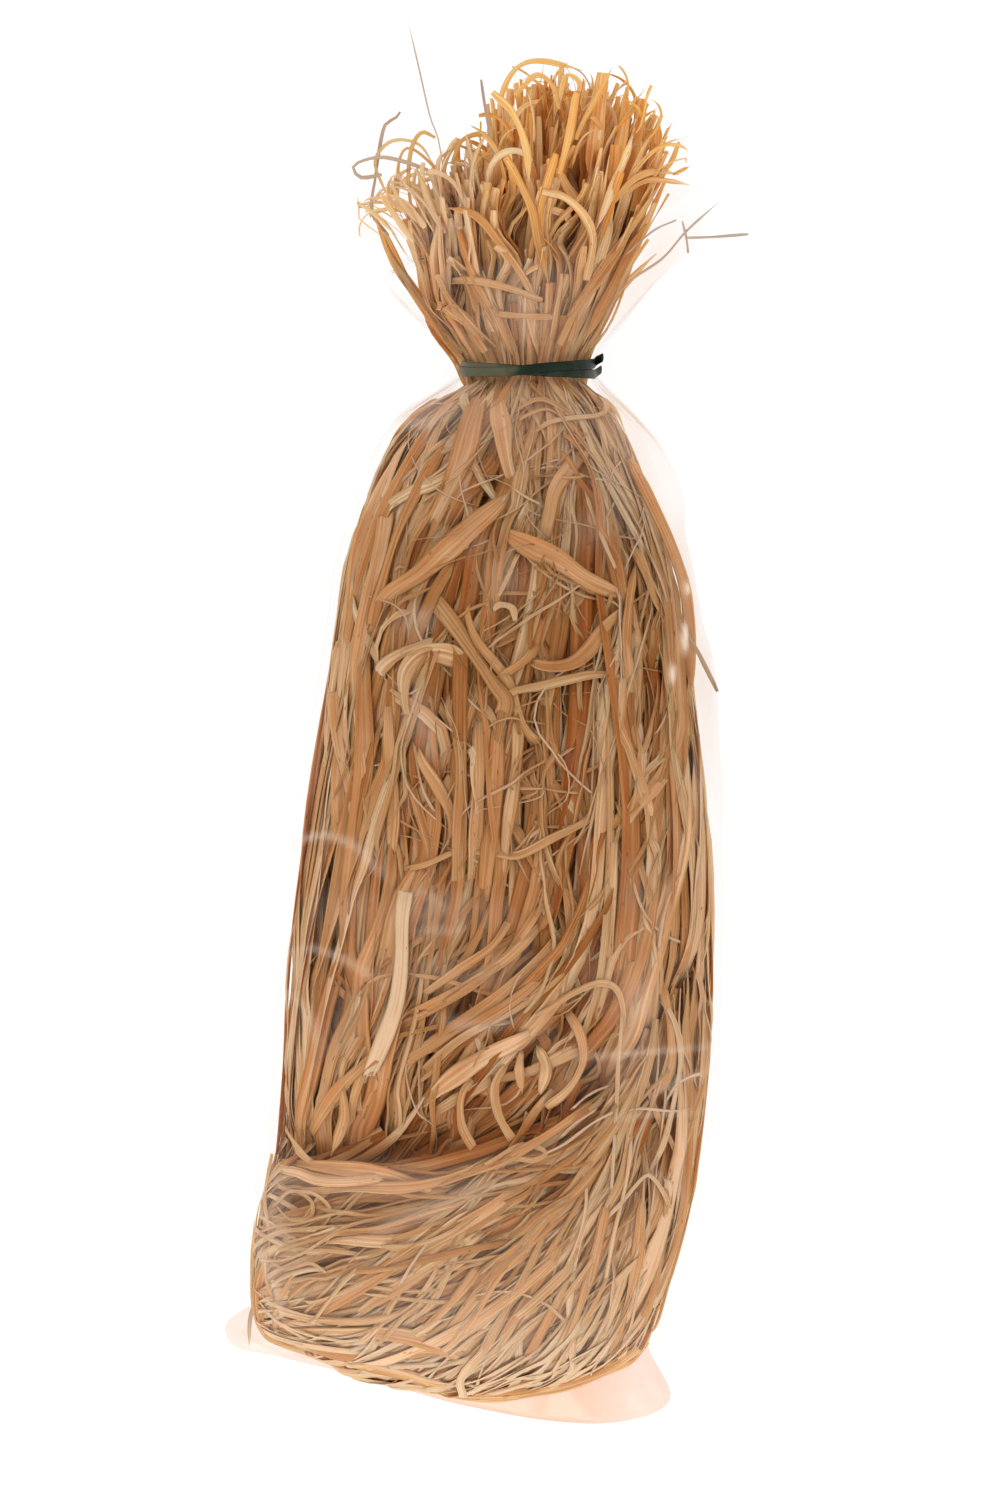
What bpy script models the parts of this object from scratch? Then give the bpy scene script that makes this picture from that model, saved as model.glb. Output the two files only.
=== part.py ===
"""A bundle of natural raffia in a clear film bag, tied at the neck and lying on its back.

+Y runs from the sealed bottom of the bag to the brush of raffia ends above the tie, +X is to the
right as seen from above, and the bag rests on Z = 0. The origin is at the middle of the footprint.
Dimensions are in millimetres and turned to metres by MM.
"""
import math
import random
from collections import namedtuple

import bmesh
import bpy
from mathutils import Vector
from mathutils.bvhtree import BVHTree

MM = 0.001

# Driving dimensions
OVERALL_LENGTH = 420.0  # seam of the bag to the tip of the longest wisp
OVERALL_WIDTH = 158.0  # corner of the seam to the tip of the side wisp
SQUARENESS = 2.3  # 2 is an ellipse, more is boxier
TOUCHING_GAP = 0.3  # kept between pieces that touch

HANK_FLOOR = 1.2  # the raffia's underside, above the film's two faces
HANK_LOCKS = 16  # locks of ribbons around the hank, each with a groove and a crest two columns wide
HANK_ROW_SPACING = 10.0
GROOVE_DEPTH = 2.4  # between two locks
CREST_SINK = 0.9  # how far the lowest lock lies under the outline
CREST_START = 0.3  # of a lock's width
CREST_END = 0.7
LOCK_WANDER = 0.06  # radians that a lock strays to each side
LOCK_SWELL = 0.35  # how much a lock's depth changes along it
RIPPLE_LENGTH = 34.0
FULL_DEPTH_HEIGHT = 60.0  # where the hank is this high, its grooves are at full depth
SWEEP_START = -55.0  # where the locks begin to sweep round towards the left
SWEEP_LENGTH = 125.0
SWEEP_TURN = 0.95  # radians

CROWN_RISE = 9.0  # the middle of the brush's root above its rim
CROWN_RINGS = ((24, 0.78), (24, 0.54), (12, 0.30), (4, 0.11))  # corners and radius, rim to middle
BRUSH_MIDDLE = (13.0, 37.0)  # X and Z of the middle of the tips
BRUSH_REACH = (51.0, 35.0)  # half width and half depth of the tips
BRUSH_DROP = 26.0  # how much lower the front and back tips are
TIP_SCATTER = 9.0  # how much shorter than the outline a tip may be
TIP_STRAY = (1.5, 1.0)  # how far a tip lies off its place in X and in Z
FINGER_STEPS = ((0.55, 0.74, 0.55), (1.0, 0.5, 0.2))  # place along it, width, thickness
FINGER_SLANT = 0.4  # how much of its root's slope a tip keeps
BRUSH_TOP_LINE = (
    (-38.0, 160.0), (-28.0, 169.0), (-12.0, 171.0), (1.0, 176.0), (7.0, 188.0),
    (20.0, 191.0), (35.0, 191.0), (46.0, 184.0), (56.0, 172.0), (64.0, 158.0),
)

FILM_THICKNESS = 0.6  # stands for film of 0.04
FILM_COLUMNS = 24
FILM_ROW_SPACING = 19.0
SEAM_ROWS = 2  # flat rows of the seam, outside the bag's hollow

TIE_WIDTH = 1.9
TIE_THICKNESS = 1.0
TIE_TURNS = 2.0
TIE_MIDDLE = 105.6
TIE_POINTS_PER_TURN = 24
TIE_CHORD_SAG = 0.2  # how far a straight piece of the tie cuts inside its curve
TAIL_TURN = 0.45  # radians over which an end of the tie springs away
TAIL_REACH = 1.3

RIBBON_THICKNESS = 0.5
RIBBON_LAYER = 0.85  # height of one layer of ribbons over the next
RIBBON_END_WIDTH = 0.35  # of the full width
RIBBON_END_TAPER = 2.2  # how quickly it reaches its full width
RIBBON_SEGMENTS = 10
RIBBON_CLEARANCE = 0.1  # over the touching gap
WISP_SEGMENTS = 8
WISP_END_WIDTH = 0.3
OUTLINE_COLUMNS = 120  # of the fine outline that ribbons are laid on
OUTLINE_ROW_SPACING = 3.0
ABOVE_ALL = 200.0

NECK_START = 101.5  # Y where the tied neck begins, below the tie

# A section of the bundle: its left and right ends, its highest and lowest level, how far its middle
# bows towards the seam, and how far its upper side dips towards the seam.
Section = namedtuple("Section", "left right top low bow dip")

HANK_SECTIONS = (
    Section((-64.0, -186.0), (46.0, -193.0), 20.0, 6.0, -14.0, 0.0),
    Section((-69.0, -181.0), (50.5, -186.0), 43.0, -2.0, -14.0, 0.0),
    Section((-70.0, -172.0), (53.5, -174.0), 58.0, -5.0, -12.0, 0.0),
    Section((-69.5, -159.0), (58.0, -159.0), 68.0, -6.0, -8.0, 0.0),
    Section((-68.3, -144.0), (62.0, -144.0), 74.0, -6.5, -4.0, 0.0),
    Section((-63.2, -129.0), (64.4, -129.0), 77.0, -7.0, -1.0, 0.0),
    Section((-61.4, -99.0), (67.7, -99.0), 79.0, -7.0, 0.0, 0.0),
    Section((-59.0, -69.0), (68.9, -69.0), 80.0, -7.0, 0.0, 0.0),
    Section((-55.1, -39.0), (68.3, -39.0), 80.0, -7.0, 0.0, 0.0),
    Section((-50.9, -9.0), (65.3, -9.0), 79.0, -7.0, 0.0, 0.0),
    Section((-46.4, 21.0), (61.4, 21.0), 77.0, -6.5, 0.0, 0.0),
    Section((-42.8, 45.0), (56.9, 45.0), 74.0, -5.0, 0.0, 0.0),
    Section((-37.1, 66.0), (49.4, 66.0), 70.0, -2.0, 0.0, 0.0),
    Section((-28.7, 84.0), (43.5, 84.0), 64.0, 4.5, 0.0, 0.0),
    Section((-19.7, 94.5), (38.5, 94.5), 58.5, 11.5, 0.0, 0.0),
    Section((-5.4, NECK_START), (30.9, NECK_START), 53.3, 17.2, 0.0, 0.0),
    Section((-5.1, 109.5), (30.6, 109.5), 53.0, 17.5, 0.0, 0.0),
    Section((-15.2, 119.0), (36.8, 119.0), 59.0, 12.0, 0.0, 0.0),
    Section((-23.0, 127.0), (40.8, 127.0), 63.0, 8.0, 0.0, 0.0),
    Section((-29.6, 137.0), (45.5, 137.0), 67.0, 5.0, 0.0, 0.0),
    Section((-31.5, 146.0), (49.0, 146.0), 68.0, 4.0, 0.0, 0.0),
)

FILM_SECTIONS = (
    Section((-OVERALL_WIDTH / 2, -184.5), (57.5, -203.0), 4.6, 3.4, -16.0, 0.0),
    Section((-75.5, -184.5), (54.5, -199.5), 5.2, 2.8, -15.5, 0.0),
    Section((-71.0, -184.5), (51.5, -194.5), 24.0, -1.0, -15.5, 0.0),
    Section((-72.0, -180.0), (53.5, -186.5), 46.5, -6.0, -14.5, 0.0),
    Section((-73.0, -171.0), (56.5, -174.0), 62.0, -9.0, -12.0, 0.0),
    Section((-72.3, -159.0), (61.0, -159.0), 71.5, -9.5, -8.0, 0.0),
    Section((-71.0, -144.0), (65.0, -144.0), 77.5, -10.0, -4.0, 0.0),
    Section((-66.2, -129.0), (67.4, -129.0), 80.5, -10.5, -1.0, 0.0),
    Section((-64.4, -99.0), (70.5, -99.0), 82.5, -10.5, 0.0, 0.0),
    Section((-62.0, -69.0), (71.7, -69.0), 83.5, -10.5, 0.0, 0.0),
    Section((-58.1, -39.0), (71.5, -39.0), 83.5, -10.5, 0.0, 0.0),
    Section((-53.9, -9.0), (71.0, -9.0), 82.5, -10.5, 0.0, 0.0),
    Section((-49.4, 21.0), (70.0, 21.0), 80.5, -10.0, 0.0, 0.0),
    Section((-45.8, 45.0), (66.0, 45.0), 77.5, -8.5, 0.0, 0.0),
    Section((-40.1, 66.0), (61.0, 66.0), 73.5, -5.5, 0.0, 0.0),
    Section((-31.9, 84.0), (52.0, 84.0), 67.5, 1.0, 0.0, 0.0),
    Section((-23.0, 94.5), (42.5, 94.5), 62.0, 8.0, 0.0, 0.0),
    Section((-6.6, NECK_START), (32.1, NECK_START), 54.5, 16.0, 0.0, 0.0),
    Section((-6.4, 109.5), (31.9, 109.5), 54.3, 16.2, 0.0, 0.0),
    Section((-18.5, 118.0), (40.5, 118.0), 62.0, 9.0, 0.0, 0.0),
    Section((-27.5, 127.0), (47.5, 127.0), 66.5, 4.5, 0.0, 2.0),
    Section((-35.0, 137.0), (56.5, 137.0), 70.5, 0.5, 0.0, 6.0),
    Section((-40.5, 147.0), (66.0, 147.0), 72.5, -2.0, 0.0, 13.0),
    Section((-43.5, 158.0), (71.0, 158.0), 73.5, -3.0, 0.0, 21.0),
    Section((-42.5, 169.0), (70.0, 169.0), 73.5, -3.0, 0.0, 29.0),
)

# Ribbons that lie loose on the front of the hank: points in X and Y, width, layer.
LOOSE_RIBBONS = {
    "ribbon_crossing": (((9.0, 70.0), (-4.0, 59.0), (-16.0, 51.0), (-29.0, 38.0)), 6.5, 1),
    "ribbon_shoulder": (((4.0, 56.0), (17.0, 49.0), (29.0, 42.0), (41.0, 35.0)), 4.6, 1),
    "ribbon_long_fold": (((-15.0, 37.0), (-6.0, 24.0), (3.0, 11.0), (12.0, 1.0)), 5.0, 1),
    "ribbon_curl": (
        ((-22.0, -9.0), (-25.0, 5.0), (-21.0, 18.0), (-11.0, 19.5), (-3.0, 14.0)), 4.4, 2,
    ),
    "ribbon_arch": (((-3.0, -8.0), (2.0, 4.0), (14.0, 9.5), (29.0, 12.0), (45.0, 14.0)), 3.2, 2),
    "ribbon_straight": (((-25.0, -46.0), (-24.0, -62.0), (-26.0, -80.0), (-31.0, -98.0)), 5.6, 1),
    "ribbon_bent": (
        ((58.0, -14.0), (46.0, -24.0), (39.5, -40.0), (37.5, -60.0), (36.0, -79.0)), 4.2, 1,
    ),
    "ribbon_sloping": (((38.0, -81.0), (20.0, -84.0), (2.0, -97.0), (-20.0, -113.0)), 5.2, 2),
    "ribbon_band": (((-58.0, -134.0), (-40.0, -134.5), (-22.0, -136.0), (0.0, -130.0)), 5.0, 1),
    "ribbon_low_sweep": (((18.0, -130.0), (-2.0, -140.0), (-24.0, -155.0), (-46.0, -168.0)), 6.0, 2),
}

# Wisps that stand clear of the rest: points in X, Y and Z, width. The last point is the free tip.
WISPS = {
    "wisp_tall": (
        ((-14.0, 174.0, 44.0), (-18.0, 190.0, 45.0), (-22.5, OVERALL_LENGTH / 2, 46.0)), 0.9,
    ),
    "wisp_dark": (((0.5, 181.0, 57.0), (-0.3, 185.0, 57.5), (-1.5, 191.0, 58.0)), 1.2),
    "wisp_curled": (
        ((-35.5, 157.0, 60.0), (-35.0, 166.0, 60.5), (-31.5, 177.0, 61.0), (-26.0, 181.5, 61.5)), 1.1,
    ),
    "wisp_side_low": (
        ((41.0, 131.0, 73.0), (52.0, 138.0, 72.5), (59.0, 145.5, 70.0), (70.0, 155.0, 68.0)), 0.9,
    ),
    "wisp_side_long": (
        ((50.0, 147.0, 68.0), (57.0, 149.5, 66.0), (66.0, 145.0, 64.5), (OVERALL_WIDTH / 2, 145.5, 64.0)),
        1.0,
    ),
    "wisp_arch": (
        ((5.0, 189.0, 50.0), (9.0, 195.0, 50.0), (16.0, 197.0, 50.0), (27.0, 195.5, 50.0),
         (37.0, 192.0, 50.0)), 2.2,
    ),
    "wisp_shoulder": (((61.5, 22.0, 44.0), (64.0, 16.0, 44.0), (66.5, 8.0, 44.0)), 1.6),
}

COLOURS = {
    "raffia": (0.50, 0.29, 0.14, 1.0),
    "film": (0.93, 0.86, 0.80, 1.0),
    "tie": (0.02, 0.055, 0.035, 1.0),
}


def clear_scene():
    for obj in list(bpy.data.objects):
        bpy.data.objects.remove(obj, do_unlink=True)


def make_material(name, colour, roughness, metallic=0.0):
    material = bpy.data.materials.new(name)
    material.use_nodes = True
    shader = material.node_tree.nodes["Principled BSDF"]
    shader.inputs["Base Color"].default_value = colour
    shader.inputs["Roughness"].default_value = roughness
    shader.inputs["Metallic"].default_value = metallic
    return material


def finish_object(bm, name, material, parent, sharp_angle):
    """Turn a closed bmesh in millimetres into a named object in metres."""
    bmesh.ops.recalc_face_normals(bm, faces=bm.faces)
    bmesh.ops.scale(bm, vec=(MM, MM, MM), verts=bm.verts)
    mesh = bpy.data.meshes.new(name)
    bm.to_mesh(mesh)
    bm.free()
    mesh.shade_smooth()
    mesh.set_sharp_from_angle(angle=math.radians(sharp_angle))
    mesh.materials.append(material)
    obj = bpy.data.objects.new(name, mesh)
    bpy.context.collection.objects.link(obj)
    obj.parent = parent
    return obj


def mix(a, b, share):
    return a + (b - a) * share


def smooth_step(x):
    x = min(1.0, max(0.0, x))
    return x * x * (3.0 - 2.0 * x)


def spline(values, place):
    """A value at a fractional place in a list, on a smooth curve through every item."""
    last = len(values) - 1
    i = min(last - 1, max(0, int(place)))
    t = place - i
    p0, p1, p2, p3 = (values[min(last, max(0, k))] for k in (i - 1, i, i + 1, i + 2))
    slope_1 = (p2 - p0) * 0.5
    slope_2 = (p3 - p1) * 0.5
    return (
        p1 * (2 * t ** 3 - 3 * t ** 2 + 1) + slope_1 * (t ** 3 - 2 * t ** 2 + t)
        + p2 * (3 * t ** 2 - 2 * t ** 3) + slope_2 * (t ** 3 - t ** 2)
    )


def section_between(sections, place):
    left = spline([Vector(s.left) for s in sections], place)
    right = spline([Vector(s.right) for s in sections], place)
    top, low, bow, dip = (
        spline([getattr(s, key) for s in sections], place) for key in ("top", "low", "bow", "dip")
    )
    return Section(left, right, top, low, bow, dip)


def section_places(sections, spacing):
    """Fractional places of the rows, about evenly spaced, with one on every section."""
    places = [0.0]
    for i in range(len(sections) - 1):
        a, b = sections[i], sections[i + 1]
        run = max((Vector(b.left) - Vector(a.left)).length, (Vector(b.right) - Vector(a.right)).length)
        steps = max(1, round(run / spacing))
        places += [i + (k + 1) / steps for k in range(steps)]
    return places


def section_middle(section):
    middle = (Vector(section.left) + Vector(section.right)) / 2
    return Vector((middle.x, middle.y, (section.top + section.low) / 2))


def section_point(section, turn, floor, inset=0.0):
    """The point of a section at an angle: 0 is the right end, a quarter turn is the top."""
    across = math.copysign(abs(math.cos(turn)) ** (2 / SQUARENESS), math.cos(turn))
    up = math.copysign(abs(math.sin(turn)) ** (2 / SQUARENESS), math.sin(turn))
    left, right = Vector(section.left), Vector(section.right)
    half_width = (right - left).length / 2 - inset
    half_height = (section.top - section.low) / 2 - inset
    plan = (left + right) / 2 + (right - left).normalized() * across * half_width
    x = plan.x
    y = plan.y + section.bow * (1 - across * across) - section.dip * max(0.0, up) ** 1.5
    z = (section.top + section.low) / 2 + up * half_height
    return Vector((x, max(y, -OVERALL_LENGTH / 2), max(z, floor)))


def add_ring(bm, points):
    return [bm.verts.new(p) for p in points]


def bridge(bm, ring_a, ring_b):
    count = len(ring_a)
    for j in range(count):
        k = (j + 1) % count
        bm.faces.new((ring_a[j], ring_a[k], ring_b[k], ring_b[j]))


def close_flat_end(bm, ring):
    """Close a ring by joining each point of its upper side to the one below it."""
    count = len(ring)
    half = count // 2
    for j in range(half):
        corners = [ring[j], ring[j + 1], ring[(count - j - 1) % count], ring[(count - j) % count]]
        bm.faces.new(list(dict.fromkeys(corners)))


# The hank

def lock_columns(rng):
    """For each column round the hank: its angle, its depth under the outline, its lock."""
    widths = [rng.uniform(0.75, 1.3) for _ in range(HANK_LOCKS)]
    total = sum(widths)
    columns = []
    start = 0.0
    for lock, width in enumerate(widths):
        span = 2 * math.pi * width / total
        sink = rng.uniform(0.0, CREST_SINK)
        for share, depth in ((0.0, GROOVE_DEPTH), (CREST_START, sink), (CREST_END, sink)):
            columns.append((start + span * share, depth, lock))
        start += span
    return columns


def hank_ring(section, columns, phases):
    middle = section_middle(section)
    sweep = SWEEP_TURN * smooth_step((SWEEP_START - middle.y) / SWEEP_LENGTH)
    ripple = middle.y / RIPPLE_LENGTH
    slender = min(1.0, (section.top - section.low) / FULL_DEPTH_HEIGHT)
    points = []
    for turn, depth, lock in columns:
        wander = LOCK_WANDER * math.sin(ripple + phases[lock])
        swell = 1.0 + LOCK_SWELL * math.sin(2.0 * (ripple + phases[lock]))
        point = section_point(section, turn + sweep + wander, HANK_FLOOR)
        inward = (middle - point).normalized()
        point = point + inward * depth * swell * slender
        points.append(Vector((point.x, point.y, max(point.z, HANK_FLOOR))))
    return points


def crown_rings(bm, rim):
    """Rings from the rim of the brush's root to its middle, each with fewer corners."""
    middle = sum((v.co for v in rim), Vector()) / len(rim)
    rings = [rim]
    for count, radius in CROWN_RINGS:
        step = len(rim) // count
        points = []
        for k in range(count):
            point = middle.lerp(rim[k * step].co, radius)
            point.y += CROWN_RISE * (1 - radius ** 2)
            points.append(point)
        rings.append(add_ring(bm, points))
    return rings


def crown_faces(bm, rings):
    faces = []
    for outer, inner in zip(rings, rings[1:]):
        step = len(outer) // len(inner)
        for k in range(len(inner)):
            outside = [outer[(k * step + i) % len(outer)] for i in range(step + 1)]
            inside = [inner[(k + 1) % len(inner)], inner[k]]
            faces.append(bm.faces.new(outside + inside))
    faces.append(bm.faces.new(rings[-1]))
    return faces


def top_line(x):
    for (x0, y0), (x1, y1) in zip(BRUSH_TOP_LINE, BRUSH_TOP_LINE[1:]):
        if x <= x1:
            return mix(y0, y1, max(0.0, (x - x0) / (x1 - x0)))
    return BRUSH_TOP_LINE[-1][1]


def tip_of(root, middle, reach, rng):
    """Where the ribbon that grows at a root point ends."""
    across = (root.x - middle.x) / reach[0]
    up = (root.z - middle.z) / reach[1]
    x = BRUSH_MIDDLE[0] + BRUSH_REACH[0] * across + rng.uniform(-TIP_STRAY[0], TIP_STRAY[0])
    z = BRUSH_MIDDLE[1] + BRUSH_REACH[1] * up + rng.uniform(-TIP_STRAY[1], TIP_STRAY[1])
    y = top_line(x) - BRUSH_DROP * up * up - rng.uniform(0.0, TIP_SCATTER)
    return Vector((x, y, z))


def grow_finger(bm, face, tip, rng):
    """Draw a crown face out to a flat tapering tongue that ends at the tip."""
    root = face.calc_center_median()
    outward = Vector((root.x - BRUSH_MIDDLE[0], 0.0, root.z - BRUSH_MIDDLE[1]))
    flat = outward.normalized()
    bend = Vector((rng.uniform(-1.0, 1.0), 0.0, rng.uniform(-1.0, 1.0)))
    spans = [v.co - root for v in face.verts]
    for share, wide, thick in FINGER_STEPS:
        face = bmesh.ops.extrude_discrete_faces(bm, faces=[face])["faces"][0]
        middle = root.lerp(tip, share) + bend * math.sin(math.pi * share)
        for vert, span in zip(face.verts, spans):
            across = span - flat * span.dot(flat)
            offset = across * wide + flat * span.dot(flat) * thick
            offset.y *= FINGER_SLANT
            vert.co = middle + offset


def build_hank(material, parent):
    rng = random.Random(7)
    columns = lock_columns(rng)
    phases = [rng.uniform(0.0, 2 * math.pi) for _ in range(HANK_LOCKS)]
    bm = bmesh.new()
    rings = []
    for place in section_places(HANK_SECTIONS, HANK_ROW_SPACING):
        section = section_between(HANK_SECTIONS, place)
        rings.append(add_ring(bm, hank_ring(section, columns, phases)))
    for ring_a, ring_b in zip(rings, rings[1:]):
        bridge(bm, ring_a, ring_b)
    close_flat_end(bm, rings[0])
    rim = rings[-1]
    middle = sum((v.co for v in rim), Vector()) / len(rim)
    reach = (max(abs(v.co.x - middle.x) for v in rim), max(abs(v.co.z - middle.z) for v in rim))
    for face in crown_faces(bm, crown_rings(bm, rim)):
        grow_finger(bm, face, tip_of(face.calc_center_median(), middle, reach, rng), rng)
    return finish_object(bm, "raffia_hank", material, parent, 38)


# The film bag and the tie

def build_film(material, parent):
    turns = [2 * math.pi * j / FILM_COLUMNS for j in range(FILM_COLUMNS)]
    sections = [section_between(FILM_SECTIONS, p) for p in section_places(FILM_SECTIONS, FILM_ROW_SPACING)]
    inner_sections = sections[SEAM_ROWS:]
    bm = bmesh.new()
    outer = [add_ring(bm, [section_point(s, t, 0.0) for t in turns]) for s in sections]
    inner = [
        add_ring(bm, [section_point(s, t, FILM_THICKNESS, FILM_THICKNESS) for t in turns])
        for s in inner_sections
    ]
    for vert in inner[0]:
        vert.co.y += FILM_THICKNESS
    for rings in (outer, inner):
        for ring_a, ring_b in zip(rings, rings[1:]):
            bridge(bm, ring_a, ring_b)
        close_flat_end(bm, rings[0])
    bridge(bm, outer[-1], inner[-1])
    return finish_object(bm, "film_bag", material, parent, 50)


def tie_path():
    """Middle line of the tie: round the neck of the bag, its ends springing away."""
    neck = next(s for s in FILM_SECTIONS if s.left[1] == NECK_START)
    middle = section_middle(neck)
    stand_off = TOUCHING_GAP + TIE_CHORD_SAG + TIE_THICKNESS / 2
    pitch = TIE_WIDTH + TOUCHING_GAP
    total_turn = TIE_TURNS * 2 * math.pi
    steps = round(TIE_TURNS * TIE_POINTS_PER_TURN)
    points = []
    for i in range(steps + 1):
        turn = total_turn * i / steps
        from_end = min(turn, total_turn - turn)
        spring = TAIL_REACH * max(0.0, 1 - from_end / TAIL_TURN) ** 2
        base = section_point(neck, turn, 0.0)
        outward = Vector((base.x - middle.x, 0.0, base.z - middle.z)).normalized()
        point = base + outward * (stand_off + spring)
        point.y = TIE_MIDDLE + pitch * (turn / (2 * math.pi) - TIE_TURNS / 2)
        points.append((point, outward))
    return points


def build_tie(material, parent):
    bm = bmesh.new()
    rings = []
    for point, outward in tie_path():
        wide = Vector((0.0, TIE_WIDTH / 2, 0.0))
        thick = outward * TIE_THICKNESS / 2
        outside = [point + thick - wide, point + thick + wide]
        inside = [point - thick + wide, point - thick - wide]
        rings.append(add_ring(bm, outside + inside))
    for ring_a, ring_b in zip(rings, rings[1:]):
        bridge(bm, ring_a, ring_b)
    bm.faces.new(rings[0])
    bm.faces.new(rings[-1])
    return finish_object(bm, "twist_tie", material, parent, 40)


# Ribbons and wisps

def hank_outline_tree():
    """A fine mesh of the hank's outline, without its locks, to lay ribbons on."""
    turns = [2 * math.pi * j / OUTLINE_COLUMNS for j in range(OUTLINE_COLUMNS)]
    bm = bmesh.new()
    rings = [
        add_ring(bm, [section_point(section_between(HANK_SECTIONS, p), t, HANK_FLOOR) for t in turns])
        for p in section_places(HANK_SECTIONS, OUTLINE_ROW_SPACING)
    ]
    for ring_a, ring_b in zip(rings, rings[1:]):
        bridge(bm, ring_b, ring_a)
    bm.normal_update()
    tree = BVHTree.FromBMesh(bm)
    bm.free()
    return tree


def strip_faces(bm, lower, upper):
    """Close a strip whose rows of points run along its lower and its upper face."""
    rings = [add_ring(bm, low + list(reversed(up))) for low, up in zip(lower, upper)]
    for ring_a, ring_b in zip(rings, rings[1:]):
        bridge(bm, ring_a, ring_b)
    lanes = len(lower[0])
    for ring in (rings[0], rings[-1]):
        for k in range(lanes - 1):
            bm.faces.new((ring[k], ring[k + 1], ring[2 * lanes - 2 - k], ring[2 * lanes - 1 - k]))


def along(path, share):
    """The point and the heading at a share of the way along a smooth path."""
    last = len(path) - 1
    place = share * last
    step = 0.02
    ahead = spline(path, min(last, place + step)) - spline(path, max(0.0, place - step))
    return spline(path, place), ahead.normalized()


def build_loose_ribbon(name, points, width, layer, tree, material, parent):
    path = [Vector(p) for p in points]
    lower, upper = [], []
    for i in range(RIBBON_SEGMENTS + 1):
        share = i / RIBBON_SEGMENTS
        here, ahead = along(path, share)
        side = Vector((-ahead.y, ahead.x))
        taper = min(1.0, math.sin(math.pi * share) * RIBBON_END_TAPER)
        half = width / 2 * mix(RIBBON_END_WIDTH, 1.0, taper)
        low_row, up_row = [], []
        for lane in (-1, 0, 1):
            spot = here + side * half * lane
            hit, normal, _, _ = tree.ray_cast(Vector((spot.x, spot.y, ABOVE_ALL)), Vector((0.0, 0.0, -1.0)))
            base = TOUCHING_GAP + RIBBON_CLEARANCE + RIBBON_LAYER * (layer - 1)
            low_row.append(hit + normal * base)
            up_row.append(hit + normal * (base + RIBBON_THICKNESS))
        lower.append(low_row)
        upper.append(up_row)
    bm = bmesh.new()
    strip_faces(bm, lower, upper)
    return finish_object(bm, name, material, parent, 35)


def build_wisp(name, points, width, material, parent):
    path = [Vector(p) for p in points]
    lower, upper = [], []
    for i in range(WISP_SEGMENTS + 1):
        share = i / WISP_SEGMENTS
        here, ahead = along(path, share)
        side = ahead.cross(Vector((0.0, 0.0, 1.0))).normalized()
        half = width / 2 * mix(1.0, WISP_END_WIDTH, share ** 3)
        lift = Vector((0.0, 0.0, RIBBON_THICKNESS / 2))
        lower.append([here - side * half - lift, here + side * half - lift])
        upper.append([here - side * half + lift, here + side * half + lift])
    bm = bmesh.new()
    strip_faces(bm, lower, upper)
    return finish_object(bm, name, material, parent, 35)


def main():
    clear_scene()
    root = bpy.data.objects.new("bundle", None)
    bpy.context.collection.objects.link(root)
    raffia = make_material("raffia", COLOURS["raffia"], 0.6)
    film = make_material("film", COLOURS["film"], 0.2)
    tie = make_material("tie", COLOURS["tie"], 0.4)
    build_hank(raffia, root)
    build_film(film, root)
    build_tie(tie, root)
    tree = hank_outline_tree()
    for name, (points, width, layer) in LOOSE_RIBBONS.items():
        build_loose_ribbon(name, points, width, layer, tree, raffia, root)
    for name, (points, width) in WISPS.items():
        build_wisp(name, points, width, raffia, root)


main()
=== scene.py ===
import math

import bpy
import numpy as np
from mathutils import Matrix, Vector
from mathutils.bvhtree import BVHTree


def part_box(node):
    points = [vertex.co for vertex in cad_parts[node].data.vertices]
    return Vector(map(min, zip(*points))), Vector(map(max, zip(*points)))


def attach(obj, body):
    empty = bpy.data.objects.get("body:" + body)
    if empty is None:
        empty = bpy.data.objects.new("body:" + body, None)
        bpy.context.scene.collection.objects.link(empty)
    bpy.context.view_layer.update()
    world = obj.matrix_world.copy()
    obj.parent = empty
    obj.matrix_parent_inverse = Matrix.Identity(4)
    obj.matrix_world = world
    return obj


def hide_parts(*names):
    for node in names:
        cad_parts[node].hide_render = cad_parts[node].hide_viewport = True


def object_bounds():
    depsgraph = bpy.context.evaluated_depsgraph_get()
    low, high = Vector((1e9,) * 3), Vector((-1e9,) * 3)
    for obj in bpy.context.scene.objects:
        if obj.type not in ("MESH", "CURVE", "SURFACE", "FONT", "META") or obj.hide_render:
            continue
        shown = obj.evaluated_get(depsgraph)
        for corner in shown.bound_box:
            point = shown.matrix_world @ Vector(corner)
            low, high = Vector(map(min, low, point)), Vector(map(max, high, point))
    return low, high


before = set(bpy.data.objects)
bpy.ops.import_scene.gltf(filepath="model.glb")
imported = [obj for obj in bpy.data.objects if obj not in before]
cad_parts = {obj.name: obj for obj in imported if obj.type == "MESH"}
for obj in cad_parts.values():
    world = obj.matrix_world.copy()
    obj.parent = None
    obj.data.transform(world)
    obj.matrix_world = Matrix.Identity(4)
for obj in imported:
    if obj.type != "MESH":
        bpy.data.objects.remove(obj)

# A bundle of raffia in a clear bag, tied at the neck, lying on its back.
# Lengths in the lists below are millimetres: x to the right, y towards the brush, z up.
mm = 0.001
waveTurn = 6.28  # one whole turn of a wave
tieHeight = 105.6  # where the tie lies along the bundle
cadLow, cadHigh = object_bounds()
scene = bpy.context.scene


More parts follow.
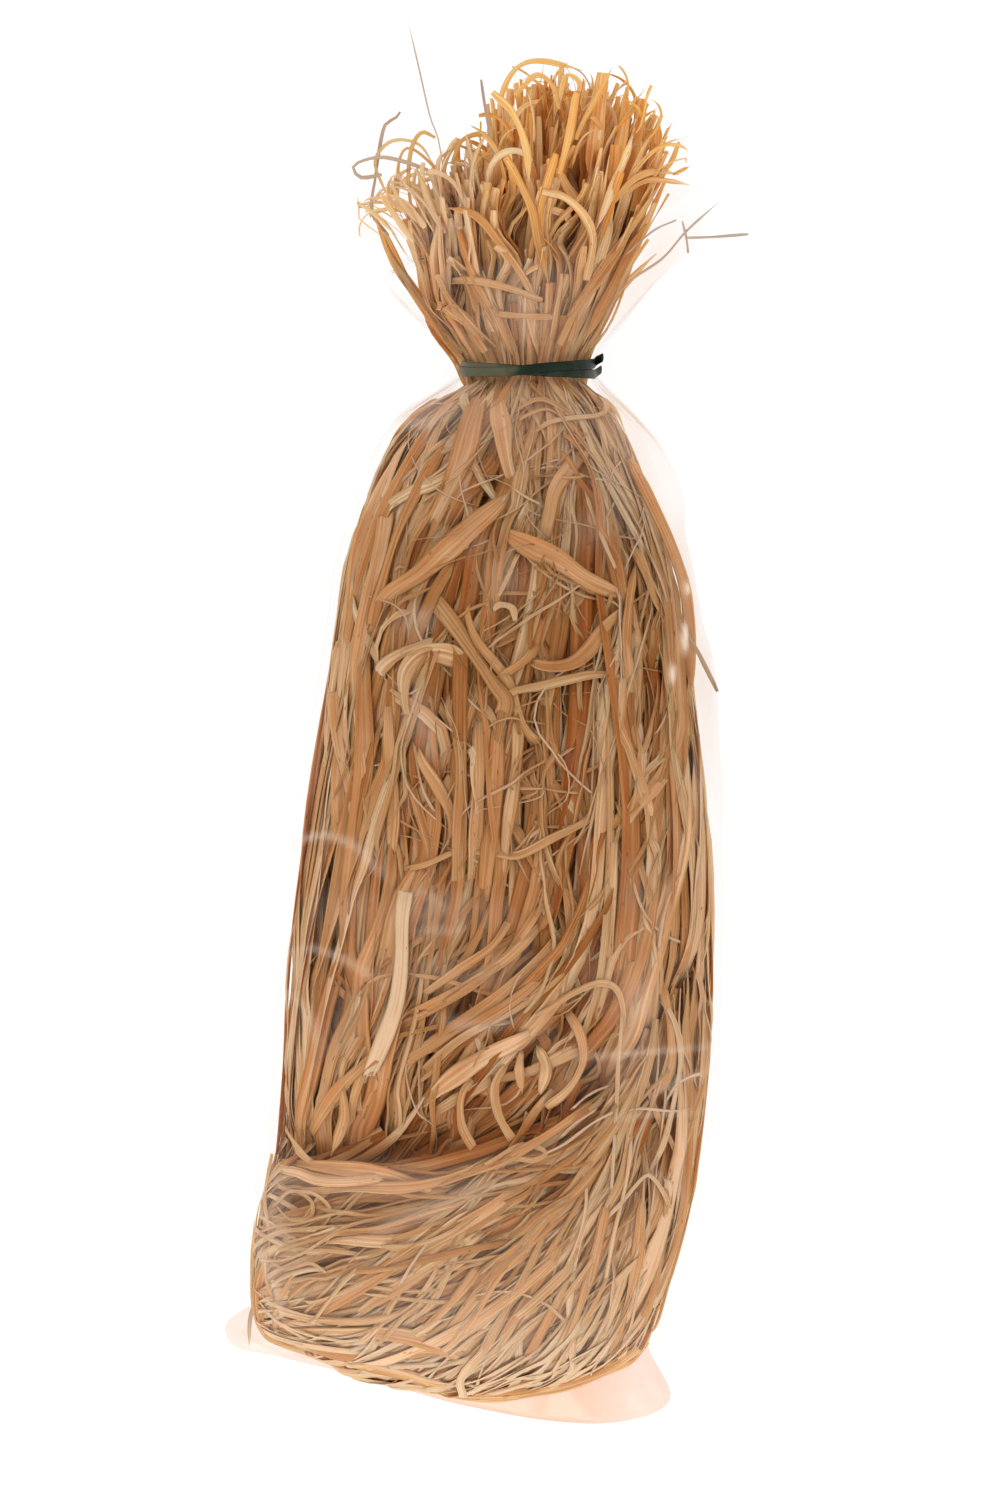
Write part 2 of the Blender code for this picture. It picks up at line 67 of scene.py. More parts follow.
# A smooth path through the given points, cut into evenly spaced ones
def smoothPath(points, count):
    pts = np.array(points, float)
    if len(pts) == 2:
        pts = np.array([pts[0], (pts[0] + pts[1]) / 2, pts[1]])
    ends = np.vstack([2 * pts[0] - pts[1], pts, 2 * pts[-1] - pts[-2]])
    fine = []
    for i in range(len(pts) - 1):
        p0, p1, p2, p3 = ends[i:i + 4]
        for t in np.linspace(0, 1, 13)[:-1]:
            fine.append(0.5 * (2 * p1 + (p2 - p0) * t + (2 * p0 - 5 * p1 + 4 * p2 - p3) * t * t
                               + (3 * p1 - p0 - 3 * p2 + p3) * t ** 3))
    fine.append(pts[-1])
    return evenly(np.array(fine), count)


def evenly(pts, count):
    step = np.linalg.norm(np.diff(pts, axis=0), axis=1)
    run = np.concatenate([[0], np.cumsum(step)])
    want = np.linspace(0, run[-1], count)
    return np.stack([np.interp(want, run, pts[:, k]) for k in range(pts.shape[1])], axis=1)


def unit(v):
    return v / np.maximum(np.linalg.norm(v, axis=-1, keepdims=True), 1e-9)


def smoothStep(low, high, x):
    t = np.clip((x - low) / (high - low), 0, 1)
    return t * t * (3 - 2 * t)


# Reads a list of (place, value) pairs at any places
def readOff(places, pairs):
    return np.interp(places, *zip(*pairs))


# Eases values along an axis towards their neighbours, all but the two at the ends
def eased(values, rounds, axis=0):
    v = np.moveaxis(values, axis, 0)
    for _ in range(rounds):
        v[1:-1] = (v[:-2] + 2 * v[1:-1] + v[2:]) / 4
    return values


# The same, once, for rows that close into rings
def easedRound(values):
    return (np.roll(values, 1, axis=1) + 2 * values + np.roll(values, -1, axis=1)) / 4


# Directions along rows of points, and the given normals squared up to them
def tangentsOf(points):
    return unit(np.gradient(points, axis=-2))


def squareTo(normals, tangents):
    return unit(normals - tangents * np.sum(normals * tangents, axis=-1, keepdims=True))


# Turns each normal about its tangent
def twisted(normals, tangents, angle):
    a = angle[..., None]
    return normals * np.cos(a) + np.cross(tangents, normals) * np.sin(a)


# Normals squared up to rows of points and tilted about them
def leaned(normals, rows, tilt):
    way = tangentsOf(rows)
    return twisted(squareTo(normals, way), way, tilt)


def placed(name, data):
    obj = bpy.data.objects.new(name, data)
    scene.collection.objects.link(obj)
    return obj


def treeOf(mesh):
    return BVHTree.FromPolygons([v.co for v in mesh.vertices], [tuple(p.vertices) for p in mesh.polygons])


# Where a line from a place first meets a mesh, and the way it faces there, or None twice
def struck(tree, place, way):
    return tree.ray_cast(Vector(place), Vector(way))[:2]


def fromAbove(tree, x, y):
    return struck(tree, (x, y, 0.3), (0, 0, -1))


# How far a mesh reaches to the left and right and down and up, level by level along the bundle
def reachOf(tree, levels):
    across, up = np.arange(-60, 70, 8) * mm, np.arange(8, 76, 6) * mm
    sides = np.empty((len(levels), 4))
    for i, y in enumerate(levels):
        casts = ((0, min, [((-0.2, y, z), (1, 0, 0)) for z in up]),
                 (0, max, [((0.2, y, z), (-1, 0, 0)) for z in up]),
                 (2, min, [((x, y, -0.1), (0, 0, 1)) for x in across]),
                 (2, max, [((x, y, 0.2), (0, 0, -1)) for x in across]))
        for k, (axis, furthest, lines) in enumerate(casts):
            hits = [struck(tree, *line)[0] for line in lines]
            sides[i, k] = furthest(hit[axis] for hit in hits if hit is not None)
    return sides


# Lowest place of a mesh along one line across the bundle
def endOf(tree, x):
    hits = [struck(tree, (x, -0.3, z), (0, 1, 0))[0] for z in np.arange(8, 60, 6) * mm]
    return min([0.0] + [hit.y for hit in hits if hit is not None])


# A rounded closed copy of a CAD node, to lay things on
def formOf(nodeName, voxel, rounds):
    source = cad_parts[nodeName]
    copy = placed("form", source.data.copy())
    remesh = copy.modifiers.new("remesh", "REMESH")
    remesh.mode = "VOXEL"
    remesh.voxel_size = voxel
    soften = copy.modifiers.new("soften", "SMOOTH")
    soften.factor = 0.5
    soften.iterations = rounds
    evaluated = copy.evaluated_get(bpy.context.evaluated_depsgraph_get())
    mesh = evaluated.to_mesh()
    verts = np.array([v.co[:] for v in mesh.vertices])
    faces = [tuple(p.vertices) for p in mesh.polygons]
    areas = np.array([p.area for p in mesh.polygons])
    evaluated.to_mesh_clear()
    bpy.data.objects.remove(copy)
    # softening shrinks it, so each level is stretched back to the node's own width and depth
    levels = np.arange(-196, 152, 4) * mm
    own, shrunk = treeOf(source.data), BVHTree.FromPolygons(verts.tolist(), faces)
    wanted, found = reachOf(own, levels), reachOf(shrunk, levels)
    y = verts[:, 1]
    for axis, k in ((0, 0), (2, 2)):
        low, high = (np.interp(y, levels, found[:, k + j]) for j in (0, 1))
        newLow, newHigh = (np.interp(y, levels, wanted[:, k + j]) for j in (0, 1))
        verts[:, axis] = newLow + (verts[:, axis] - low) / (high - low) * (newHigh - newLow)
    # and its folded end is drawn back down to the node's own
    across = np.arange(-64, 58, 4) * mm
    drop = [endOf(shrunk, x) - endOf(own, x) for x in across]
    low = smoothStep(-150 * mm, -188 * mm, verts[:, 1])
    verts[:, 1] -= np.interp(verts[:, 0], across, drop) * low
    centres = np.array([verts[list(f)].mean(0) for f in faces])
    tree = BVHTree.FromPolygons(verts.tolist(), faces)
    return {"tree": tree, "centres": centres, "areas": areas, "verts": verts}


# Nearest places and outward directions on a form, for many points
def nearestOn(form, points):
    flat = points.reshape(-1, 3)
    place, out = np.empty_like(flat), np.empty_like(flat)
    for i, p in enumerate(flat):
        place[i], out[i] = form["tree"].find_nearest(Vector(p))[:2]
    return place.reshape(points.shape), out.reshape(points.shape)


filmTree = treeOf(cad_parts["film_bag"].data)
hankForm = formOf("raffia_hank", 3.2 * mm, 5)
print("hank form:", len(hankForm["verts"]), "points")


# Lines that the ribbons follow, combed from the neck towards the sealed end
combFront = [
    [(-32, 150), (-24, 133), (-12, 115), (-7, 104), (-20, 90), (-33, 72), (-41, 48), (-47, 10), (-53, -40),
     (-58, -90), (-61, -128)],
    [(-20, 158), (-12, 132), (-4, 106), (-12, 85), (-25, 60), (-33, 30), (-39, 0), (-44, -45), (-47, -85),
     (-51, -127)],
    [(-8, 160), (-4, 132), (1, 106), (-4, 85), (-15, 60), (-25, 38), (-30, 5), (-32, -35), (-36, -65),
     (-40, -95), (-45, -126)],
    [(4, 165), (4, 135), (6, 106), (5, 80), (0, 58), (-8, 38), (-12, 15), (-10, -10), (-9, -40), (-13, -62),
     (-24, -84), (-36, -106), (-41, -126)],
    [(16, 165), (14, 135), (12, 106), (14, 75), (12, 50), (8, 20), (4, -10), (2, -40), (1, -58), (-8, -74),
     (-22, -92), (-31, -108), (-33, -126)],
    [(26, 165), (22, 135), (18, 106), (23, 80), (23, 55), (20, 20), (17, -20), (16, -50), (10, -68),
     (-3, -84), (-18, -100), (-24, -125)],
    [(38, 165), (30, 135), (24, 106), (33, 80), (37, 55), (36, 25), (32, -10), (29, -45), (22, -70),
     (10, -86), (-4, -102), (-10, -125)],
    [(48, 160), (37, 132), (28, 106), (42, 80), (50, 55), (52, 25), (50, -10), (46, -45), (42, -75),
     (38, -95), (28, -111), (12, -123), (-8, -129)],
    [(54, 155), (42, 130), (32, 106), (50, 78), (59, 50), (63, 15), (63, -20), (62, -60), (60, -95),
     (56, -130), (50, -165), (42, -192)],
    [(60, 62), (68, 20), (68, -40), (67, -90), (64, -130), (58, -160), (50, -190)],
    [(-4, -131), (-20, -136), (-42, -135), (-66, -136)],
    [(36, -110), (20, -124), (0, -134), (-20, -141), (-42, -146), (-66, -150)],
    [(40, -113), (24, -129), (4, -141), (-18, -151), (-40, -159), (-66, -168)],
    [(42, -116), (28, -134), (10, -148), (-12, -161), (-36, -174), (-64, -186)],
    [(44, -120), (32, -140), (16, -157), (-4, -173), (-22, -186), (-38, -197)],
    [(46, -122), (36, -146), (22, -168), (8, -187), (-4, -204)],
    [(48, -122), (42, -150), (32, -178), (22, -203)],
    [(54, -125), (50, -155), (42, -185), (36, -200)],
    [(60, -128), (57, -155), (50, -185), (46, -195)],
]
combBack = [
    [(-30, 150), (-7, 104), (-36, 62), (-50, 0), (-60, -80), (-66, -150), (-64, -186)],
    [(-8, 160), (2, 106), (-15, 60), (-24, 0), (-27, -80), (-33, -150), (-38, -192)],
    [(12, 165), (12, 106), (14, 50), (16, 0), (10, -80), (2, -150), (-3, -202)],
    [(36, 165), (24, 106), (38, 60), (47, 0), (44, -80), (34, -150), (26, -198)],
    [(54, 155), (32, 106), (53, 68), (66, 0), (67, -80), (60, -150), (48, -190)],
]
combReach = 3  # how far the pull of a comb line carries


# Middle and direction of each short length of a set of comb lines
def combTeeth(lines):
    middles, ways = [], []
    for line in lines:
        pts = smoothPath(line, 4 * len(line)) * mm
        middles.append((pts[1:] + pts[:-1]) / 2)
        ways.append(unit(pts[1:] - pts[:-1]))
    return np.vstack(middles), np.vstack(ways)


frontTeeth, backTeeth = combTeeth(combFront), combTeeth(combBack)


# Which way the raffia runs at each point: the comb lines near it, carried from level ground over to the
# slope there, as a sheet is that folds over an edge
def combedWay(points, out):
    ways = []
    for middles, directions in (frontTeeth, backTeeth):
        gap = np.sum((points[:, None, :2] - middles[None]) ** 2, axis=2)
        share = 1 / (gap + (combReach * mm) ** 2) ** 2
        ways.append(unit(share @ directions))
    up = np.where(out[:, 2:3] > -0.15, 1.0, -1.0)
    way = np.zeros_like(points)
    way[:, :2] = np.where(up > 0, ways[0], ways[1])
    bend = out.copy()
    bend[:, 2:3] += up
    way -= bend * np.sum(way * out, axis=1, keepdims=True) / (1 + up * out[:, 2:3])
    return unit(way)


# Below this line the hank folds over itself on the left, and its lower half lies on top
foldLine = [(-80, -131), (-40, -132), (-5, -131), (12, -124), (32, -112), (44, -104), (80, -60)]
foldLine = np.array(foldLine) * mm
# how far ribbons from above it and from below it may pass it, how deep those from above dive there, and
# between which heights ribbons stop above the tie
fold = {"passBelow": 5, "passAbove": 7, "dive": 6, "stop": (110, 134)}


def foldHeight(points):
    return points[..., 1] - np.interp(points[..., 0], foldLine[:, 0], foldLine[:, 1])


# Rows of points grown from seeds along the comb, both ways, at a depth under the surface
def growRibbons(form, rng, spec):
    count, points = spec["count"], spec["points"]
    weight = form["areas"].copy()
    weight[form["centres"][:, 1] > 150 * mm] = 0
    weight[form["centres"][:, 2] < 22 * mm] *= spec["back"]
    if "only" in spec:
        left, right, low, high = (v * mm for v in spec["only"])
        x, y = form["centres"][:, 0], form["centres"][:, 1]
        weight[(x < left) | (x > right) | (y < low) | (y > high)] = 0
    seeds = form["centres"][rng.choice(len(weight), count, p=weight / weight.sum())]
    seeds = seeds + rng.normal(0, 1.2 * mm, seeds.shape)
    depth = rng.uniform(*spec["depth"], count)[:, None] * mm
    length = rng.uniform(*spec["length"], count) * mm
    step = (length / (points - 1))[:, None]
    wave = rng.uniform(35, 90, count) * mm
    swing = rng.normal(0, spec["wander"], count)
    lean = rng.normal(0, spec["cross"], count)
    phase = rng.uniform(0, waveTurn, count)
    place, out = nearestOn(form, seeds)
    before = int(points * 0.5)
    halves = []
    for sign, steps in ((-1, before), (1, points - 1 - before)):
        at, way, here, facing = place - out * depth, None, place, out
        row, outs = [at], [facing]
        for k in range(steps):
            turn = lean + swing * np.sin(phase + sign * (k * step[:, 0]) * waveTurn / wave)
            comb = twisted(combedWay(here, facing), facing, turn) * sign
            if way is not None:
                flip = np.sign(np.sum(comb * way, axis=1, keepdims=True))
                flip[flip == 0] = 1
                comb = comb * flip * 0.55 + squareTo(way, facing) * 0.9
            way = squareTo(comb, facing)
            here, facing = nearestOn(form, at + way * step)
            at = here - facing * depth
            row.append(at)
            outs.append(facing)
        halves.append((np.stack(row, axis=1), np.stack(outs, axis=1)))
    row, outs = (eased(np.concatenate([back[:, ::-1], ahead[:, 1:]], axis=1), 3, 1)
                 for back, ahead in zip(*halves))
    # smoothing cuts across the waist, so the ribbons are pressed back onto the surface there
    place, facing = nearestOn(form, row)
    high = np.sum((row - place) * facing, axis=2) + depth
    row = row - facing * (np.maximum(high, 0) * 0.8)[..., None]
    return row, unit(outs), before


# How near a point is to the tie, from 0 to 1
def squeezed(points):
    return np.clip(1 - np.abs(points[..., 1] - tieHeight * mm) / (10 * mm), 0, 1)


# Pulls everything near the tie in towards the middle of the neck
neck = {"level": 107, "reach": 7.5, "middle": (12.6, 0, 34.5), "pull": (0.15, 0, 0.10)}


def drawnIn(points):
    near = np.exp(-((points[..., 1] / mm - neck["level"]) / neck["reach"]) ** 2)[..., None]
    return points - (points - np.array(neck["middle"]) * mm) * near * neck["pull"]


# Ribbons above the fold end at it and dive, those below it start there
def cutAtFold(row, outs, before, rng):
    kept, keptOuts = [], []
    for points, normals in zip(row, outs):
        top = rng.uniform(*fold["stop"]) * mm
        side = foldHeight(points)
        upper = side[before] > 0
        past = (side < -fold["passBelow"] * mm) if upper else (side > fold["passAbove"] * mm)
        bad = (normals[:, 2] > 0.1) & past
        start, end = before, before
        while start > 0 and not bad[start - 1] and points[start - 1, 1] < top:
            start -= 1
        while end < len(points) - 1 and not bad[end + 1] and points[end + 1, 1] < top:
            end += 1
        if end - start < 5:
            continue
        cut = evenly(np.hstack([points[start:end + 1], normals[start:end + 1]]), len(points))
        line, facing = cut[:, :3], unit(cut[:, 3:])
        if upper:
            dive = smoothStep(20 * mm, -2 * mm, foldHeight(line)) * (facing[:, 2] > 0.1)
            line = line - facing * (dive * fold["dive"] * mm)[:, None]
        kept.append(line)
        keptOuts.append(facing)
    kept, keptOuts = np.array(kept), np.array(keptOuts)
    t = np.linspace(0, 1, kept.shape[1])
    tuck = smoothStep(0.14, 0, np.minimum(t, 1 - t))[None] * 2.6
    return kept - keptOuts * ((squeezed(kept) * 2.4 + tuck) * mm)[..., None], keptOuts


# Slots where the ribbons part and the dark inside shows, darkened further by painted shade: half width, and
# the two ends of each
slots = [
    (3.0, (1.5, 79), (-1, 64)), (1.0, (-8, 93), (-9.5, 84)), (1.0, (-33, 59), (-34, 47)),
    (1.3, (-17, 52), (-26, 43)), (2.0, (-9, 42), (-9, 35)), (1.3, (10, 47), (8, 36)),
    (1.7, (12, 90), (14, 84)), (1.0, (16, 77), (18, 67)), (1.5, (21, 63), (25, 50)),
    (1.6, (40, 62), (41, 52)), (1.7, (33, 51), (38, 40)), (1.1, (28, 69), (30, 62)),
    (2.6, (32, 35), (34, 28)), (1.3, (46, 46), (47, 30)), (1.8, (17, 31), (20, 22)),
    (2.1, (24, 26), (24, 18)), (1.2, (29, 27), (28, 21)), (1.5, (-3, 17), (5, 7)), (1.7, (5, 31), (8, 20)),
    (1.8, (15, 15), (15, 11)), (2.4, (26.5, 8), (25, -7)), (1.7, (15, 3), (15, -3)),
    (1.3, (14, -8), (16, -17)), (1.6, (-34, 11), (-33, 2)), (1.6, (-13, 14), (-12, 8)),
    (1.1, (-4, -3), (-2, -8)), (2.3, (-17, -3), (-12, -17)), (1.2, (48, 9), (47, -6)),
    (3.6, (-17, -28), (-24, -42)), (1.5, (-49, -52), (-49, -68)), (1.7, (-32, -48), (-32, -58)),
    (3.8, (-17, -53), (-17, -63)), (1.3, (10, -48), (12, -57)), (2.0, (9, -52), (6, -64)),
    (1.3, (28, -42), (24, -50)), (1.3, (24, -50), (22, -60)), (1.5, (44, -33), (43, -39)),
    (1.6, (17, -62), (16, -69)), (1.8, (22, -26), (21, -34)), (1.1, (22, -14), (20, -22)),
    (1.3, (10, -22), (11, -30)), (2.3, (-1, -80), (-10, -87)), (2.7, (-42, -76), (-47, -88)),
    (1.7, (22, -88), (20, -94)), (2.6, (36, -88), (36, -98)), (1.2, (13, -97), (13, -103)),
    (1.6, (8, -103), (6, -112)), (3.2, (-1, -112), (-1, -122)), (1.7, (33, -101), (29, -108)),
    (2.0, (30, -115), (26, -119)), (1.4, (22, -118), (12, -125)), (1.8, (-36, -114), (-34, -130)),
    (1.1, (-44, -118), (-46, -127)), (1.7, (-21, -121), (-20, -128)), (1.1, (64, -88), (63, -98)),
    (1.1, (53, -56), (53, -62)), (1.1, (52, -122), (51, -130)), (1.6, (-58, -144), (-53, -144)),
    (1.6, (-38, -144), (-26, -142)), (1.5, (8, -146), (1, -156)), (1.1, (24, -134), (20, -140)),
    (1.3, (-48, -161), (-42, -163)), (1.1, (-20, -133), (-27, -136)), (1.3, (-4, -138), (-9, -137)),
    (1.0, (43, -143), (40, -150)), (0.9, (12, -187), (18, -185)), (0.9, (-5, -163), (-8, -170)),
    (1.8, (-52, -126), (-32, -129)), (2.0, (-30, -129), (-8, -128)), (2.2, (34, -111), (18, -121)),
    (2.8, (7, 157), (12, 143)), (3.0, (24, 155), (25, 142)), (1.7, (27, 168), (26, 157)),
    (1.6, (31, 183), (31, 175)), (1.5, (-10, 131), (-6, 122)), (1.5, (2, 138), (5, 131)),
    (0.9, (-18, 150), (-17, 144)),
]


# Moves ribbons aside at the slots, and lets those that cross one dip into it; gives how far in they are too,
# which sets their painted shade
def parted(rows, outs, dip=6.5):
    flat = rows[..., :2].copy()
    sink = np.zeros(rows.shape[:2])
    for half, a, b in slots:
        a, b = np.array(a) * mm, np.array(b) * mm
        length = np.linalg.norm(b - a)
        way = (b - a) / length
        across = np.array([-way[1], way[0]])
        t, d = (flat - a) @ way, (flat - a) @ across
        fade = smoothStep(-2.5 * mm, 1.5 * mm, t) * smoothStep(length + 2.5 * mm, length - 1.5 * mm, t)
        reach = (half + 1.7) * mm
        push = reach * fade * np.exp(-np.abs(d) / (2 * reach)) * np.where(d < 0, -1, 1)
        flat += push[..., None] * across
        sink = np.maximum(sink, fade * np.exp(-((d + push) / (1.1 * reach)) ** 2))
    front = smoothStep(0.1, 0.45, outs[..., 2])
    sink = sink * front
    moved = rows - outs * (sink * dip * mm)[..., None]
    moved[..., :2] += (flat - rows[..., :2]) * front[..., None]
    return eased(moved, 2, 1), sink


# Widths along each ribbon: full in the middle, cut square or torn to a point at its ends
def ribbonWidths(rng, count, points, width, torn):
    t = np.linspace(0, 1, points)[None]
    low, high = width
    full = low * (high / low) ** rng.uniform(0, 1, count)[:, None]
    ends = rng.uniform(0, 1, (count, 2)) < torn
    left, right = (np.where(ends[:, k:k + 1], 0.1 + 0.9 * smoothStep(0, 0.22, s),
                            0.75 + 0.25 * smoothStep(0, 0.1, s)) for k, s in ((0, t), (1, 1 - t)))
    swell = 1 + 0.14 * np.sin(t * rng.uniform(5, 16, (count, 1)) + rng.uniform(0, waveTurn, (count, 1)))
    return full * left * right * swell * mm


# A slowly changing random number along each ribbon
def slowNoise(rng, count, points, waves):
    t = np.linspace(0, 1, points)[None]
    total = np.zeros((count, points))
    for k in (1, 2.3):
        turn = t * waveTurn * k * rng.uniform(0.5, 1, (count, 1)) * waves
        total += np.sin(turn + rng.uniform(0, waveTurn, (count, 1))) / k
    return total / 1.4


# Gives a node's input a socket to follow, a node's first output, or a plain value
def feed(tree, socket, value):
    value = value.outputs[0] if isinstance(value, bpy.types.Node) else value
    if isinstance(value, bpy.types.NodeSocket):
        tree.links.new(value, socket)
    else:
        socket.default_value = value


# A node with its settings made first, and then its inputs, by name or number
def newNode(tree, kind, inputs=None, **settings):
    node = tree.nodes.new(kind)
    for name, value in settings.items():
        setattr(node, name, value)
    for name, value in (inputs or {}).items():
        feed(tree, node.inputs[name], value)
    return node


def mathsNode(tree, operation, *inputs, clamp=False):
    inputs = dict(enumerate(inputs))
    return newNode(tree, "ShaderNodeMath", inputs, operation=operation, use_clamp=clamp).outputs[0]


def mixNode(tree, factor, a, b, blend="MIX"):
    inputs = {"Factor": factor, "A": a, "B": b}
    return newNode(tree, "ShaderNodeMix", inputs, data_type="RGBA", blend_type=blend).outputs["Result"]


def attributeNode(tree, name):
    return newNode(tree, "ShaderNodeAttribute", attribute_name=name).outputs["Fac"]


# A colour ramp with its stops as (place, colour)
def rampNode(tree, factor, stops):
    ramp = newNode(tree, "ShaderNodeValToRGB", {"Fac": factor})
    elements = ramp.color_ramp.elements
    for k, (place, colour) in enumerate(stops):
        e = elements[k] if k < 2 else elements.new(place)
        e.position = place
        e.color = (*colour, 1)
    return ramp


# A node group with its inputs, (name, kind, value), its outputs, (name, kind), and the sockets inside it
def makeGroup(name, inputs, outputs, kind="ShaderNodeTree"):
    group = bpy.data.node_groups.new(name, kind)
    for label, socketKind, value in inputs:
        socket = group.interface.new_socket(label, in_out="INPUT", socket_type="NodeSocket" + socketKind)
        if value is not None:
            socket.default_value = value
    for label, socketKind in outputs:
        group.interface.new_socket(label, in_out="OUTPUT", socket_type="NodeSocket" + socketKind)
    return group, group.nodes.new("NodeGroupInput").outputs, group.nodes.new("NodeGroupOutput").inputs


# Sweeps a thin lens along every line of a mesh, as wide as the line says and cupped across
def makeRibbonTree():
    tree, given, result = makeGroup(
        "raffiaRibbons", [("Lines", "Geometry", None), ("Sides", "Int", None), ("Thickness", "Float", None),
                          ("Material", "Material", None)], [("Ribbons", "Geometry")], "GeometryNodeTree")

    def node(kind, inputs=None, **settings):
        return newNode(tree, "GeometryNode" + kind, inputs, **settings)

    def named(name, kind="FLOAT"):
        return node("InputNamedAttribute", {"Name": name}, data_type=kind).outputs["Attribute"]

    def maths(operation, *inputs):
        return mathsNode(tree, operation, *inputs)

    facing, width = named("facing", "FLOAT_VECTOR"), named("width")
    curve = node("MeshToCurve", {"Mesh": given["Lines"]})
    curve = node("SetCurveNormal", {"Curve": curve, "Normal": facing}, mode="FREE")
    # the profile: a circle pressed flat, which remembers how far across each point is
    circle = node("CurvePrimitiveCircle", {"Radius": 0.5, "Resolution": given["Sides"]})
    split = newNode(tree, "ShaderNodeSeparateXYZ", {"Vector": node("InputPosition")}).outputs
    pressed = newNode(tree, "ShaderNodeCombineXYZ",
                      {"X": maths("MULTIPLY", split["X"], given["Thickness"]), "Y": split["Y"]})
    flat = node("SetPosition", {"Geometry": circle, "Position": pressed})
    profile = node("StoreNamedAttribute", {
        "Geometry": flat, "Name": "across", "Value": maths("MULTIPLY", split["Y"], 2.0)},
        data_type="FLOAT", domain="POINT")
    sweep = node("CurveToMesh", {"Curve": curve, "Profile Curve": profile, "Scale": width, "Fill Caps": True})
    # cupping: the edges rise above the middle
    rise = maths("SUBTRACT", maths("POWER", maths("ABSOLUTE", named("across")), 1.6), 0.4)
    rise = maths("MULTIPLY", maths("MULTIPLY", rise, named("cup")), width)
    lift = newNode(tree, "ShaderNodeVectorMath", {"Vector": facing, "Scale": rise}, operation="SCALE")
    made = node("SetPosition", {"Geometry": sweep, "Offset": lift})
    made = node("RealizeInstances", {"Geometry": node("SetShadeSmooth", {"Geometry": made})})
    feed(tree, result["Ribbons"], node("SetMaterial", {"Geometry": made, "Material": given["Material"]}))
    return tree


ribbonTree = makeRibbonTree()


# Sets a modifier's inputs by the names that the tree gives them
def setInputs(modifier, values):
    for item in modifier.node_group.interface.items_tree:
        if item.item_type == "SOCKET" and item.in_out == "INPUT" and item.name in values:
            modifier[item.identifier] = values[item.name]


# The plain mesh that an object's modifiers make, in place of the object
def settled(obj):
    evaluated = obj.evaluated_get(bpy.context.evaluated_depsgraph_get())
    mesh = bpy.data.meshes.new_from_object(evaluated)
    mesh.name = obj.name
    obj.modifiers.clear()
    obj.data = mesh
    return obj


# Keeps a value for each point of a mesh
def keepOn(mesh, name, values, kind="FLOAT", field="value"):
    mesh.attributes.new(name, kind, "POINT").data.foreach_set(field, values.astype(np.float32).ravel())


# One piece from rows of points: rows and facings (n, m, 3), width and cup (n, m), tone (n)
def ribbonPiece(name, material, rows, facings, width, cup, tone, rng, sides=8, thickness=0.06):
    count, points = rows.shape[:2]
    # nothing dips below what the bundle lies on
    rows[..., 2] = np.maximum(rows[..., 2], 1.1 * mm + 0.3 * width)
    facings = squareTo(facings, tangentsOf(rows))
    mesh = bpy.data.meshes.new(name)
    starts = np.arange(count)[:, None] * points + np.arange(points - 1)[None]
    edges = np.stack([starts.ravel(), starts.ravel() + 1], axis=1)
    mesh.from_pydata(rows.reshape(-1, 3).tolist(), edges.tolist(), [])
    along = np.cumsum(np.linalg.norm(np.diff(rows, axis=1, prepend=rows[:, :1]), axis=2), axis=1)
    serial = rng.uniform(0, 1, (count, 1)) + np.zeros((1, points))
    tone = np.clip(tone, 0, 1)
    x, y = rows[..., 0] / mm, rows[..., 1] / mm
    # the tips above the tie are painted golden, a painted glow of light passing through them, least in the
    # left lobe
    goldenGlow = smoothStep(122, 168, y) * (0.2 + 0.8 * smoothStep(-14, 8, x)) * (0.82 + 0.18 * serial)
    # some ribbons are more olive, most of them in the upper half of the bag
    olive = ((serial * 7.3) % 1 * 0.7 - 0.2) * smoothStep(130, 100, y)
    olive = olive + 0.4 * smoothStep(-25, 10, y) * smoothStep(82, 62, y)
    values = {"width": width, "cup": cup, "along": along + serial, "serial": serial, "goldenGlow": goldenGlow,
              "olive": np.clip(olive, 0, 1),
              "tone": (tone[:, None] if tone.ndim == 1 else tone) + np.zeros((1, points))}
    for key, value in values.items():
        keepOn(mesh, key, value)
    keepOn(mesh, "facing", facings, "FLOAT_VECTOR", "vector")
    obj = placed(name, mesh)
    sweep = obj.modifiers.new("sweep", "NODES")
    sweep.node_group = ribbonTree
    setInputs(sweep, {"Sides": sides, "Thickness": thickness, "Material": material})
    settled(obj)
    for key in ("facing", "width", "cup"):
        if key in obj.data.attributes:
            obj.data.attributes.remove(obj.data.attributes[key])
    print(name, count, "ribbons,", sum(len(p.vertices) - 2 for p in obj.data.polygons), "triangles")
    return obj


# A material with plain values set on its shader, its tree and that shader
def newMaterial(name, values):
    material = bpy.data.materials.new(name)
    material.use_nodes = True
    shader = material.node_tree.nodes["Principled BSDF"]
    for label, value in values.items():
        shader.inputs[label].default_value = value
    return material, material.node_tree, shader.inputs


def bumpOn(tree, shader, height, strength, distance):
    inputs = {"Height": height, "Strength": strength, "Distance": distance}
    feed(tree, shader["Normal"], newNode(tree, "ShaderNodeBump", inputs))


